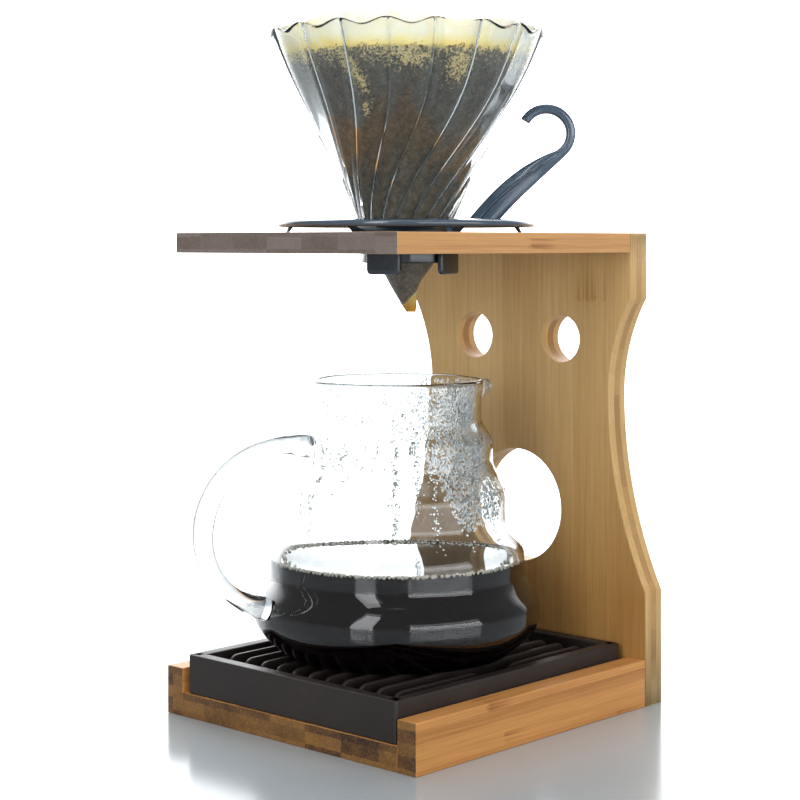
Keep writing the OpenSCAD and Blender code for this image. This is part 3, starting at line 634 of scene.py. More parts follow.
def bamboo_grain(tree, place, normal, order, strip, layer, fibre, colours, seed, node=None):
    """Colour and height of laminated bamboo. order names the axes across the strips, across the
    layers and along the grain. Each strip has a tone of its own; fibres are noise drawn out along the
    grain; now and then a strip shows a node, a dark smear with a row of specks below it. node gives the
    place of one such node across the strips and along the grain. Faces across the grain show end grain,
    where each fibre bundle is a pale dot."""
    light, dark, end_light, end_dark = colours
    node_spacing = 300.0
    smear_length = 17.0
    speck_size = 1.7
    pore_size = 0.8
    parts = add(tree, "SeparateXYZ", [place]).node.outputs
    plank = add(tree, "CombineXYZ", {axis: parts[name] for axis, name in zip("XYZ", order)})
    drawn = add(tree, "VectorMath", [plank, (1 / 4, 1 / 4, 1 / 120)], operation="MULTIPLY")
    wander = add(tree, "TexNoise", {"Vector": drawn, "Scale": 1.0}, out=1)
    wander = add(tree, "VectorMath", [wander, (0.9, 0.9, 0), plank], operation="MULTIPLY_ADD")
    cells = add(
        tree, "VectorMath", [wander, (1 / strip, 1 / layer, 0), (seed + 0.37, seed + 0.5, seed)],
        operation="MULTIPLY_ADD",
    )
    cell = add(tree, "VectorMath", [cells], operation="FLOOR")
    chance = add(tree, "TexWhiteNoise", {"Vector": cell}, out="Color")
    chances = add(tree, "SeparateXYZ", [chance]).node.outputs
    shifted = add(tree, "VectorMath", [chance, (0, 0, 900), plank], operation="MULTIPLY_ADD")
    tone = add(tree, "Math", [chances["X"], 0.5, -0.95], operation="MULTIPLY_ADD")
    streaks = []
    for wide, long, weight in ((fibre, 26, 0.85), (fibre * 4, 120, 0.7), (fibre * 26, 320, 0.45)):
        drawn = add(tree, "VectorMath", [shifted, (1 / wide, 1 / wide, 1 / long)], operation="MULTIPLY")
        streak = add(tree, "TexNoise", {"Vector": drawn, "Scale": 1.0, "Detail": 3.0, "Roughness": 0.6})
        tone = add(tree, "Math", [streak, weight, tone], operation="MULTIPLY_ADD")
        streaks.append(streak)
    along = add(tree, "SeparateXYZ", [shifted], out="Z")
    from_node = add(tree, "Math", [along, node_spacing, -node_spacing], operation="WRAP")
    if node:
        sides = add(tree, "SeparateXYZ", [plank]).node.outputs
        inside = add(tree, "Math", [sides["X"], node[0], strip * 0.42], operation="COMPARE")
        above = add(tree, "Math", [sides["Z"], -node[1]])
        from_node = add(tree, "Mix", {0: inside, 2: from_node, 3: above})
    smear = add(tree, "MapRange", [from_node, 0.0, smear_length, 1.0, 0.0])
    start = add(tree, "MapRange", [from_node, -1.5, 1.0])
    smear = add(tree, "Math", [smear, start], operation="MINIMUM")
    streaky = add(tree, "MapRange", [streaks[1], 0.42, 0.66])
    smear = add(tree, "Math", [smear, streaky], operation="MULTIPLY")
    row = add(tree, "Math", [from_node, -1.0, 2.6], operation="COMPARE")
    speck = add(tree, "TexVoronoi", {"Vector": plank, "Scale": 1 / speck_size})
    speck = add(tree, "MapRange", [speck, 0.12, 0.3, 0.5, 0.0])
    speck = add(tree, "Math", [speck, row], operation="MULTIPLY")
    for mark, weight in ((smear, 0.75), (speck, 1.0)):
        tone = add(tree, "Math", [mark, weight, tone], operation="MULTIPLY_ADD")
    tone = add(tree, "Clamp", [tone])
    long_grain = add(tree, "Mix", {0: tone, 6: light, 7: dark}, data_type="RGBA", out=2)

    pore_place = add(tree, "VectorMath", [plank, (1 / pore_size, 1 / pore_size, 0)], operation="MULTIPLY")
    pores = add(tree, "TexVoronoi", {"Vector": pore_place, "Scale": 1.0})
    pore = add(tree, "MapRange", [pores, 0.15, 0.5, 1.0, 0.0])
    clouds = add(tree, "TexNoise", {"Vector": plank, "Scale": 1 / 6.0, "Detail": 3.0})
    block = add(tree, "Math", [chances["Y"], 0.7, -0.3], operation="MULTIPLY_ADD")
    for mark, weight in ((clouds, 0.6), (pore, 0.42)):
        block = add(tree, "Math", [mark, weight, block], operation="MULTIPLY_ADD")
    block = add(tree, "Clamp", [block])
    end_grain = add(tree, "Mix", {0: block, 6: end_dark, 7: end_light}, data_type="RGBA", out=2)

    axis = [float(name == order[2]) for name in "XYZ"]
    facing = add(tree, "VectorMath", [normal, axis], operation="DOT_PRODUCT", out=1)
    facing = add(tree, "Math", [facing], operation="ABSOLUTE")
    is_end = add(tree, "MapRange", [facing, 0.45, 0.75])
    shown = add(tree, "Mix", {0: is_end, 6: long_grain, 7: end_grain}, data_type="RGBA", out=2)
    return shown, streaks[0]


def bamboo_finish(tree, shader, shown, height):
    """Satin oil: fibres stay a little rougher and stand up slightly."""
    rough = add(tree, "MapRange", [height, 0.3, 0.7, 0.4, 0.58])
    bump = add(tree, "Bump", {"Height": height, "Strength": 0.35, "Distance": 0.12 * MM})
    fill(shader, {"Base Color": shown, "Roughness": rough, "Normal": bump, "IOR": 1.46})


def oiled_board(name, colours, seed):
    """Laminated bamboo, planed and oiled, grain front to back: streaks on top and sides, dark pored
    end grain at the front."""
    s = settings("stand")
    material, tree, shader, place, normal = new_material(name)
    shown, height = bamboo_grain(tree, place, normal, "XZY", s.strip, s.layer, s.fibre, colours, seed)
    bamboo_finish(tree, shader, shown, height)
    return material


def oiled_ply(name, front, back):
    """Three-layer bamboo ply, sanded and oiled: upright strips on both faces, a crosswise core whose
    darker end grain shows at the sides and in the holes."""
    s = settings("stand")
    material, tree, shader, place, normal = new_material(name)
    face_colours = (s.panel_light, s.panel_dark, s.panel_light, s.panel_dark)
    core_colours = (s.panel_light, s.panel_dark, s.core_light, s.core_dark)
    one_layer = 20 * back
    outer, outer_height = bamboo_grain(
        tree, place, normal, "XYZ", s.strip, one_layer, s.fibre, face_colours, 3.0, (s.node_x, s.node_z)
    )
    core, core_height = bamboo_grain(
        tree, place, normal, "ZYX", s.strip, one_layer, s.fibre, core_colours, 8.0
    )
    depth = add(tree, "SeparateXYZ", [place], out="Y")
    from_middle = add(tree, "Math", [depth, -(front + back) / 2])
    from_middle = add(tree, "Math", [from_middle], operation="ABSOLUTE")
    half_core = (back - front) / 6
    is_core = add(tree, "MapRange", [from_middle, half_core - 0.1, half_core + 0.1, 1.0, 0.0])
    shown = add(tree, "Mix", {0: is_core, 6: outer, 7: core}, data_type="RGBA", out=2)
    height = add(tree, "Mix", {0: is_core, 2: outer_height, 3: core_height})
    # Painted shade: towards the foot, the front and back faces are multiplied by the panel foot colour
    height_above_floor = add(tree, "SeparateXYZ", [place], out="Z")
    low = add(tree, "MapRange", [height_above_floor, 45.0, 150.0, 1.0, 0.0])
    faces = add(tree, "SeparateXYZ", [normal], out="Y")
    faces = add(tree, "Math", [faces], operation="ABSOLUTE")
    oiled = add(tree, "Math", [low, faces], operation="MULTIPLY")
    shown = add(
        tree, "Mix", {0: oiled, 6: shown, 7: s.panel_foot}, data_type="RGBA", blend_type="MULTIPLY", out=2
    )
    bamboo_finish(tree, shader, shown, height)
    return material


def turned_beech():
    """Beech dowel, turned and fluted: pale, with short dark flecks along its length."""
    material, tree, shader, place, _ = new_material("Beech, turned")
    flecks = add(tree, "TexNoise", {"Vector": place, "Scale": 1 / 1.5, "Detail": 4.0})
    base = settings("stand").dowel
    darker = [part * 0.75 for part in base[:3]] + [1.0]
    shown = add(tree, "Mix", {0: flecks, 6: base, 7: darker}, data_type="RGBA", out=2)
    fill(shader, {"Base Color": shown, "Roughness": 0.6})
    return material


def zinc_plated_steel():
    """Zinc-plated screw steel: bright grey, with a faint cloudy roughness from the plating bath."""
    material, tree, shader, place, _ = new_material("Steel, zinc plated")
    clouds = add(tree, "TexNoise", {"Vector": place, "Scale": 1 / 2.0, "Detail": 3.0})
    rough = add(tree, "MapRange", [clouds, 0.0, 1.0, 0.25, 0.45])
    fill(shader, {"Roughness": rough, "Base Color": settings("stand").screw, "Metallic": 1.0})
    return material


def moulded_plastic(name, base, pale, grit, rough, bump_depth, shine=0.5):
    """Injection moulded plastic: a fine spark-eroded grain, drawn as coarse as it needs to show, with
    a paler bloom in broad clouds."""
    material, tree, shader, place, _ = new_material(name)
    grain = add(tree, "TexNoise", {"Vector": place, "Scale": 1 / grit, "Detail": 2.0})
    clouds = add(tree, "TexNoise", {"Vector": place, "Scale": 1 / 22.0, "Detail": 4.0, "Roughness": 0.65})
    faded = add(tree, "MapRange", [clouds, 0.42, 0.8, 0.0, 0.4])
    shown = add(tree, "Mix", {0: faded, 6: base, 7: pale}, data_type="RGBA", out=2)
    roughness = add(tree, "MapRange", [clouds, 0.3, 0.7, rough - 0.05, rough + 0.08])
    bump = add(tree, "Bump", {"Height": grain, "Strength": 0.4, "Distance": bump_depth * MM})
    fill(shader, {
        "Base Color": shown, "Roughness": roughness, "Normal": bump,
        "Specular IOR Level": shine,
    })
    return material


def clear_glass(name, tint, ripple, ripple_depth):
    """Borosilicate glass, blown: clear, with a faint ripple of the wall that bends reflections."""
    material, tree, shader, place, _ = new_material(name)
    waves = add(tree, "TexNoise", {"Vector": place, "Scale": 1 / ripple, "Detail": 1.0})
    bump = add(tree, "Bump", {"Height": waves, "Strength": 0.3, "Distance": ripple_depth * MM})
    fill(shader, {
        "Normal": bump, "Base Color": tint, "Roughness": 0.0,
        "Transmission Weight": 1.0, "IOR": 1.474,
    })
    return material


def water_film(name, tint, clear, spread):
    """Water, as drops, mist and bubble films: clear, with a skin that scatters by spread."""
    material, tree, shader, place, _ = new_material(name)
    skin_noise = add(tree, "TexNoise", {"Vector": place, "Scale": 1 / 0.8})
    rough = add(tree, "MapRange", [skin_noise, 0.0, 1.0, spread, spread + 0.08])
    fill(shader, {"Roughness": rough, "Base Color": tint, "Transmission Weight": clear, "IOR": 1.33})
    return material


def brewed_coffee_liquid():
    """Filter coffee: nearly black in depth, a little redder where it thins, with a wet surface."""
    s = settings("server")
    material, tree, shader, place, _ = new_material("Coffee, brewed")
    clouds = add(tree, "TexNoise", {"Vector": place, "Scale": 1 / 30.0})
    redder = [part * scale for part, scale in zip(s.coffee, (2.0, 1.0, 1.0, 1.0))]
    shown = add(tree, "Mix", {0: clouds, 6: s.coffee, 7: redder}, data_type="RGBA", out=2)
    fill(shader, {"Base Color": shown, "Roughness": 0.03, "IOR": 1.34})
    return material


# Tan patches of the filter paper, painted lighter for the light shining through them: direction and height
# of the middle, lean in degrees for each millimetre of height, half width in degrees and half height
PATCHES = (
    (-74, 69, -0.5, 8, 19), (-22, 70, 0.2, 12, 11), (-44, 73, 0.0, 18, 8), (-70, 52, 0.0, 4, 4),
    (95, 70, 0.4, 10, 15), (190, 72, 0.0, 13, 11),
)


def filter_paper(centre, top):
    """Unbleached creped filter paper, soaked. Above the grounds it is pale and lets light through.
    Below their edge the wet grounds show through as a dark speckled stain with a ragged upper border
    and tan patches where no grounds cling, and a warmer brown low down. One side of the folded tip is
    amber with coffee."""
    f = settings("filter")
    material, tree, shader, place, _ = new_material("Filter paper, soaked")
    local = add(tree, "VectorMath", [place, (-centre[0], -centre[1], -top)], operation="ADD")
    parts = add(tree, "SeparateXYZ", [local]).node.outputs
    height = parts["Z"]
    angle = add(tree, "Math", [parts["Y"], parts["X"]], operation="ARCTAN2")
    noises = {}
    for name, size, detail, rough in (
        ("grit", 0.9, 3.0, 0.7), ("specks", 2.6, 5.0, 0.75),
        ("islands", 15.0, 4.0, 0.7), ("clouds", 26.0, 3.0, 0.6),
    ):
        noises[name] = add(
            tree, "TexNoise", {"Vector": local, "Scale": 1 / size, "Detail": detail, "Roughness": rough}
        )
    # Wet up to a ragged border; below it, bare islands and patches broken up by specks and grit
    ragged = add(tree, "Math", [noises["specks"], 9.0, -4.5], operation="MULTIPLY_ADD")
    border = add(tree, "Math", [height, ragged])
    wet = add(tree, "MapRange", [border, f.edge_rise - 1.0, f.edge_rise + 1.0, 1.0, 0.0])
    below = add(tree, "MapRange", [height, f.edge_rise - 22, f.edge_rise, 0.0, 0.85])
    bare = add(tree, "Math", [noises["islands"], below], operation="MULTIPLY")
    for patch_angle, patch_z, lean, wide, tall in PATCHES:
        skewed = add(tree, "Math", [height, -math.radians(lean), angle], operation="MULTIPLY_ADD")
        middle = math.radians(patch_angle - lean * patch_z)
        away = add(
            tree, "Math", [skewed, 1 / math.radians(wide), -middle / math.radians(wide)],
            operation="MULTIPLY_ADD",
        )
        rise = add(tree, "Math", [height, 1 / tall, -patch_z / tall], operation="MULTIPLY_ADD")
        both = add(tree, "CombineXYZ", {"X": away, "Y": rise})
        far = add(tree, "VectorMath", [both], operation="LENGTH", out=1)
        patch = add(tree, "MapRange", [far, 0.3, 1.5, 0.45, 0.0])
        bare = add(tree, "Math", [bare, patch], operation="MAXIMUM")
    for name, weight in (("specks", 0.55), ("grit", 1.0)):
        bare = add(tree, "Math", [noises[name], weight, bare], operation="MULTIPLY_ADD")
    bare = add(tree, "MapRange", [bare, 1.13, 1.24])
    stain = add(tree, "Math", [wet, bare], operation="SUBTRACT", use_clamp=True)
    # Dark stain, warmer low down, mottled, and paler where more light comes through
    warm = add(tree, "Math", [noises["clouds"], 26.0, height], operation="MULTIPLY_ADD")
    warm = add(tree, "MapRange", [warm, 48.0, 68.0, 0.75, 0.1])
    dark = add(tree, "Mix", {0: warm, 6: f.stain, 7: f.brown}, data_type="RGBA", out=2)
    mottled = add(tree, "MapRange", [noises["specks"], 0.3, 0.7, 0.55, 1.35])
    gritty = add(tree, "MapRange", [noises["grit"], 0.35, 0.75, 0.75, 1.6])
    paler = add(tree, "MapRange", [height, -5.0, 50.0, 2.8, 1.65])
    outside = add(tree, "MapRange", [height, -12.0, -6.0, 0.55, 1.0])
    for gain in (gritty, paler, outside):
        mottled = add(tree, "Math", [mottled, gain], operation="MULTIPLY")
    dark = add(tree, "VectorMath", {0: dark, "Scale": mottled}, operation="SCALE")
    # Paper with no grounds behind it; its patches are painted lighter, as light shining through from behind
    soaked = add(tree, "MapRange", [height, f.edge_rise - 3, f.edge_rise + 5, 0.6, -0.5])
    soaked = add(tree, "Math", [noises["islands"], 1.3, soaked], operation="MULTIPLY_ADD", use_clamp=True)
    pale = add(tree, "Mix", {0: soaked, 6: f.dry, 7: f.tan}, data_type="RGBA", out=2)
    patchy = add(tree, "Math", [bare, wet], operation="MULTIPLY")
    pale = add(tree, "Mix", {0: patchy, 6: pale, 7: f.patch}, data_type="RGBA", out=2)
    shown = add(tree, "Mix", {0: stain, 6: pale, 7: dark}, data_type="RGBA", out=2)
    # Coffee in one side of the tip, beyond a slanting plane
    slant = (0.7314, 0.682, -0.945)
    tip = add(tree, "MapRange", [height, -24.0, -18.0, 1.0, 0.0])
    side = add(tree, "VectorMath", [local, slant], operation="DOT_PRODUCT", out=1)
    side = add(tree, "MapRange", [side, 27.9, 28.7])
    tip = add(tree, "Math", [tip, side], operation="MULTIPLY")
    deep = add(tree, "Math", [noises["specks"], 9.0, height], operation="MULTIPLY_ADD")
    deep = add(tree, "MapRange", [deep, -28.0, -21.0, 1.0, 0.0])
    syrup = add(tree, "Mix", {0: deep, 6: f.honey, 7: f.amber}, data_type="RGBA", out=2)
    shown = add(tree, "Mix", {0: tip, 6: shown, 7: syrup}, data_type="RGBA", out=2)
    bump = add(tree, "Bump", {"Height": noises["grit"], "Strength": 0.35, "Distance": 0.15 * MM})
    rough = add(tree, "MapRange", [stain, 0.0, 1.0, 0.8, 0.45])
    through = add(tree, "MapRange", [patchy, 0.0, 1.0, 1.0, 0.1])
    fill(shader, {
        "Base Color": shown, "Roughness": rough, "Normal": bump, "Subsurface Weight": through,
        "Subsurface Radius": (1.0, 0.8, 0.5), "Subsurface Scale": 2.6 * MM,
    })
    return material


def wet_grounds():
    """Coffee grounds, wet: dark brown grains about 0.8 mm across, some pale with chaff, glistening."""
    f = settings("filter")
    material, tree, shader, place, _ = new_material("Coffee grounds, wet")
    grains = add(tree, "TexVoronoi", {"Vector": place, "Scale": 1 / 0.8}).node.outputs
    chances = add(tree, "SeparateXYZ", [grains["Color"]]).node.outputs
    pale = add(tree, "MapRange", [chances["X"], 0.72, 1.0, 0.0, 0.8])
    shown = add(tree, "Mix", {0: pale, 6: f.grounds, 7: f.chaff}, data_type="RGBA", out=2)
    rough = add(tree, "MapRange", [chances["Y"], 0.0, 1.0, 0.25, 0.7])
    raised_grains = {"Height": grains["Distance"], "Strength": 0.6, "Distance": 0.3 * MM}
    bump = add(tree, "Bump", raised_grains, invert=True)
    fill(shader, {"Base Color": shown, "Roughness": rough, "Normal": bump})
    return material


def lacquered_table():
    """White table top, lacquered: smooth enough to mirror what stands on it, with a faint haze."""
    s = settings("stage")
    material, tree, shader, place, _ = new_material("Table top, lacquered")
    haze = add(tree, "TexNoise", {"Vector": place, "Scale": 1 / 60.0, "Detail": 3.0})
    rough = add(tree, "MapRange", [haze, 0.0, 1.0, 0.12, 0.22])
    fill(shader, {"Roughness": rough, "Base Color": s.floor})
    return material


def studio_light():
    """Soft studio light: a white wall behind the stand, a dim room in front of it, and softboxes with
    straight edges, each given by its direction and height in degrees, half its width, half its height
    and its radiance."""
    s = settings("stage")
    world = bpy.data.worlds.new("Studio")
    world.use_nodes = True
    tree = world.node_tree
    tree.nodes.clear()
    way = add(tree, "TexCoord")
    parts = add(tree, "SeparateXYZ", [way]).node.outputs
    bearing = add(tree, "Math", [parts["Y"], parts["X"]], operation="ARCTAN2")
    rise = add(tree, "Math", [parts["Z"]], operation="ARCSINE")
    wall = s.camera_turn + math.radians(90)
    tilt = 0.12
    back = (math.cos(wall), math.sin(wall), tilt)
    behind = add(tree, "VectorMath", [way, back], operation="DOT_PRODUCT", out=1)
    total = add(
        tree, "MapRange", [behind, 0.5, 0.8, s.front_light, s.back_light], interpolation_type="SMOOTHSTEP"
    )
    softboxes = (
        (-7, 9, 30, 10, s.side_light), (-75, 28, 9, 30, s.fill_light), (0, 90, 180, 25, s.top_light),
    )
    for *angles, radiance in softboxes:
        middle, height, wide, tall = (math.radians(angle) for angle in angles)
        across = add(tree, "Math", [bearing, middle, wide], operation="COMPARE")
        upward = add(tree, "Math", [rise, height, tall], operation="COMPARE")
        inside = add(tree, "Math", [across, upward], operation="MULTIPLY")
        total = add(tree, "Math", [inside, radiance, total], operation="MULTIPLY_ADD")
    light = add(tree, "Background", {"Color": s.light_colour, "Strength": total})
    add(tree, "OutputWorld", {"Surface": light})
    return world


# Formulas shared by several pieces

def bell(d, t):
    """Radius and height of the glass without its flutes: a cubic curve, nearly straight at both ends."""
    low = shelf_top() - d.outlet_drop
    high = shelf_top() + d.rim_rise
    ends = [
        (d.outlet, low),
        (d.outlet + d.lower_lean * d.lower_pull, low + d.lower_pull),
        (d.rim - d.upper_lean * d.upper_pull, high - d.upper_pull),
        (d.rim, high),
    ]
    return cubic(ends, t)


def crease_line(d, f, inset):
    """Radius and height along the innermost line of the flutes, moved in by the glass, the clearance
    and an inset, with the straight cone of the paper's tip below it. Also each point's share of the
    height of the glass, 0 along the tip."""
    t = np.linspace(0, 1, 40)
    line = bell(d, t)
    line[:, 0] -= blend(d.flute_end, d.flute_rim, t) + d.glass + f.fit + inset
    tip = np.array([f.tip - inset, shelf_top() - f.tip_drop])
    cone = blend(tip, line[0], np.linspace(0, 1, 24)[:-1, None])
    return np.concatenate([cone, line]), np.concatenate([np.zeros(len(cone)), t])


def flute_grid(d, t, near, between):
    """Angles of points round the flutes and their distances from the nearest crease, one row for each
    share of the height. Near a crease the distances are the given numbers of ridge half widths; from
    there to the middle of a flute they are even."""
    t = np.asarray(t)[:, None]
    pitch = 2 * np.pi * bell(d, t[:, 0])[:, :1] / d.flutes
    close = blend(d.ridge_end, d.ridge, t) * np.array(near)
    far = blend(close[:, -1:], pitch / 2, np.linspace(0, 1, between + 1)[1:])
    right = np.concatenate([close, far], 1)
    away = np.concatenate([-right[:, -2:0:-1], right], 1)
    turns = np.arange(d.flutes)[None, :, None] + (away / pitch)[:, None]
    angle = turns.reshape(len(t), -1) * 2 * np.pi / d.flutes
    swirled = angle + d.flute_angle - d.swirl * (1 - t) ** d.swirl_bend
    return swirled, np.tile(away, (1, d.flutes)), np.tile(away / pitch, (1, d.flutes))


def jug_radius(s, height):
    """Outer radius of the jug at a height above its foot: a quarter sine wave up to the body, then half
    cosine waves from step to step, upright for a share of the way at each step."""
    z = np.array([s.body_z, s.step1_z, s.step2_z, s.step3_z, s.neck_z, s.height])
    r = np.array([s.body, s.step1, s.step2, s.step3, s.neck, s.rim])
    span = np.clip(np.searchsorted(z, height) - 1, 0, len(z) - 2)
    way = (height - z[span]) / (z[span + 1] - z[span])
    stepped = blend(r[span], r[span + 1], ease((way - s.upright) / (1 - 2 * s.upright)))
    shoulder = blend(s.foot, s.body, np.sin(np.pi / 2 * np.clip(height / s.body_z, 0, 1)))
    return np.where(height < s.body_z, shoulder, stepped)


def jug_wall(s, height, angle, inset):
    """Radius and height of the jug's wall with its spout: the spout stands out as a bell curve round its
    direction, flaring over half a cosine wave to an upright lip that dips and draws in in the middle."""
    draw_in = 1.2
    away = turn_between(s.spout_angle, angle)
    bulge = np.exp(-(away / s.spout_spread) ** 2)
    grown = ease((height - s.height + s.spout_depth) / (s.spout_depth - s.lip))
    near_rim = np.clip((height - s.height + s.lip) / s.lip, 0, 1) ** 2
    radius = jug_radius(s, height) - inset + s.spout * bulge * grown
    return radius - draw_in * bulge * near_rim, height - s.lip_dip * bulge * near_rim


# Height of the bend between the jug's floor and its inner wall
FLOOR_BEND = 4.0


def floor_curve(s, radius, floor_z):
    """Ends and pulls of the cubic curve from the level floor in the jug up to a radius at its wall."""
    return [
        (38, floor_z), (radius - 5, floor_z), (radius - 2.2, s.bottom + 1.2), (radius, s.bottom + FLOOR_BEND)
    ]


def server_place():
    """Axis of the server, seen from above, and the height of its foot."""
    return middle_of("brewed_coffee"), node_box("server_jug")[0][2]


# Operators, one for each piece or group of like pieces

class BuildBackPanel(bpy.types.Operator):
    """Build the back panel with its waist, its holes and its countersinks"""

    bl_idname = "pour_over.back_panel"
    bl_label = "Back panel"

    def execute(self, context):
        s = settings("stand")
        low, high = node_box("back_panel")
        base = high[0]
        head = node_box("shelf")[1][0]
        sides = []
        for top, wide in ((s.foot, base), (high[2] - s.head, head)):
            out = wide - s.waist / 2
            radius = (out ** 2 + (top - s.waist_z) ** 2) / (2 * out)
            z = np.linspace(top, s.waist_z, 36)
            x = s.waist / 2 + radius - np.sqrt(radius ** 2 - (z - s.waist_z) ** 2)
            sides.append(np.stack([x, z], -1))
        right = np.concatenate([[[base, 0]], sides[0], sides[1][-2::-1], [[head, high[2]]]])
        left = right[::-1] * (-1, 1)
        holes = [circle((x * s.eye_spacing / 2, s.eye_z), s.eye / 2, 72, True) for x in (-1, 1)]
        holes.append(circle((0, s.mouth_z), s.mouth / 2, 120, True))
        sink = s.screw_head / 2 + 0.1
        depth = s.screw_head / 4
        narrow = 0.55
        pockets = []
        for node in ("shelf_screws", "base_screws"):
            screw_low, screw_high = node_box(node)
            x = screw_high[0] - s.screw_head / 2
            z = (screw_low + screw_high)[2] / 2
            pockets += [(circle((side * x, z), sink, 32, True), depth, narrow) for side in (-1, 1)]
        plate = eased_plate([np.concatenate([right, left])] + holes, -high[1], -low[1], s.ease, pockets)
        shape = placed(plate, ((1, 0, 0), (0, 0, 1), (0, -1, 0)))
        material = oiled_ply("Bamboo ply, oiled", low[1], high[1])
        even_shading(add_piece("panel_board", shape, material, "stand", ["back_panel"]))
        return {"FINISHED"}


class BuildShelf(bpy.types.Operator):
    """Build the shelf with the hole for the dripper"""

    bl_idname = "pour_over.shelf"
    bl_label = "Shelf"

    def execute(self, context):
        s = settings("stand")
        hole = circle(middle_of("dripper_cone"), s.shelf_hole / 2, 120, True)
        shape = board("shelf", s.ease, [hole])
        colours = (s.shelf_light, s.shelf_dark, s.shelf_end_light, s.shelf_end_dark)
        material = oiled_board("Bamboo board, oiled, shelf", colours, 5.0)
        even_shading(add_piece("shelf_board", shape, material, "stand", ["shelf"]))
        return {"FINISHED"}


class BuildBase(bpy.types.Operator):
    """Build the floor board and the two rails"""

    bl_idname = "pour_over.base"
    bl_label = "Base"

    def execute(self, context):
        s = settings("stand")
        colours = (s.board_light, s.board_dark, s.end_light, s.end_dark)
        for node, seed in (("base_floor", 11.0), ("left_rail", 15.0), ("right_rail", 19.0)):
            material = oiled_board(f"Bamboo board, oiled, {node.replace('_', ' ')}", colours, seed)
            shape = board(node, s.ease)
            even_shading(add_piece(f"{node}_board", shape, material, "stand", [node]))
        return {"FINISHED"}


class FinishFasteners(bpy.types.Operator):
    """Give the screws and dowels their finish"""

    bl_idname = "pour_over.fasteners"
    bl_label = "Screws and dowels"

    def execute(self, context):
        steel = zinc_plated_steel()
        beech = turned_beech()
        finishes = {
            "shelf_screws": steel, "base_screws": steel,
            "shelf_dowels": beech, "panel_dowels": beech, "rail_dowels": beech,
        }
        for node, material in finishes.items():
            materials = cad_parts[node].data.materials
            materials.clear()
            materials.append(material)
        return {"FINISHED"}


class BuildDripTray(bpy.types.Operator):
    """Build the drip tray and its ribs"""

    bl_idname = "pour_over.drip_tray"
    bl_label = "Drip tray"

    def execute(self, context):
        s = settings("tray")
        low, high = node_box("drip_tray")
        round_in, round_up = quarter(s.ease, 5)
        inset = np.concatenate([round_in, round_in[::-1], s.wall - round_in, s.wall + round_in[::-1]])
        level = np.concatenate([
            low[2] + round_up, (high[2] - round_up)[::-1], high[2] - round_up,
            (low[2] + s.bottom + round_up)[::-1],
        ])
        half = (high - low)[:2] / 2
        outline = softened(rectangle(-half, half), s.corner, 7)
        rings = middle_of("drip_tray") + outline[None] - inset[:, None, None] * mitres(outline)[None]
        shape = capped(raised(rings, level))
        plastic = moulded_plastic("ABS, moulded, brown", s.plastic, s.dust, 0.7, 0.5, 0.05)
        even_shading(add_piece("tray_shell", shape, plastic, "tray", ["drip_tray"]))

        rib_low, rib_high = node_box("tray_ribs")
        rows = round((rib_high[0] - rib_low[0] - s.rib) / s.rib_pitch) + 1
        ends = (rib_low[1], rib_high[1])
        part = (ends[1] - ends[0] - s.rib_split) / 2
        parts = []
        for row in range(rows):
            x = rib_low[0] + row * s.rib_pitch
            spans = [ends] if row % 2 else [(ends[0], ends[0] + part), (ends[1] - part, ends[1])]
            for start, stop in spans:
                corners = rectangle((start, rib_low[2]), (stop, rib_high[2]))
                outline = softened(corners, (s.rib_ease, s.rib_ease, s.rib_corner, s.rib_corner), 9)
                plate = eased_plate([outline], x, x + s.rib, s.rib_ease)
                parts.append(placed(plate, ((0, 1, 0), (0, 0, 1), (1, 0, 0))))
        shape = joined(parts)
        even_shading(add_piece("tray_rib_row", shape, plastic, "tray", ["tray_ribs"]))
        return {"FINISHED"}


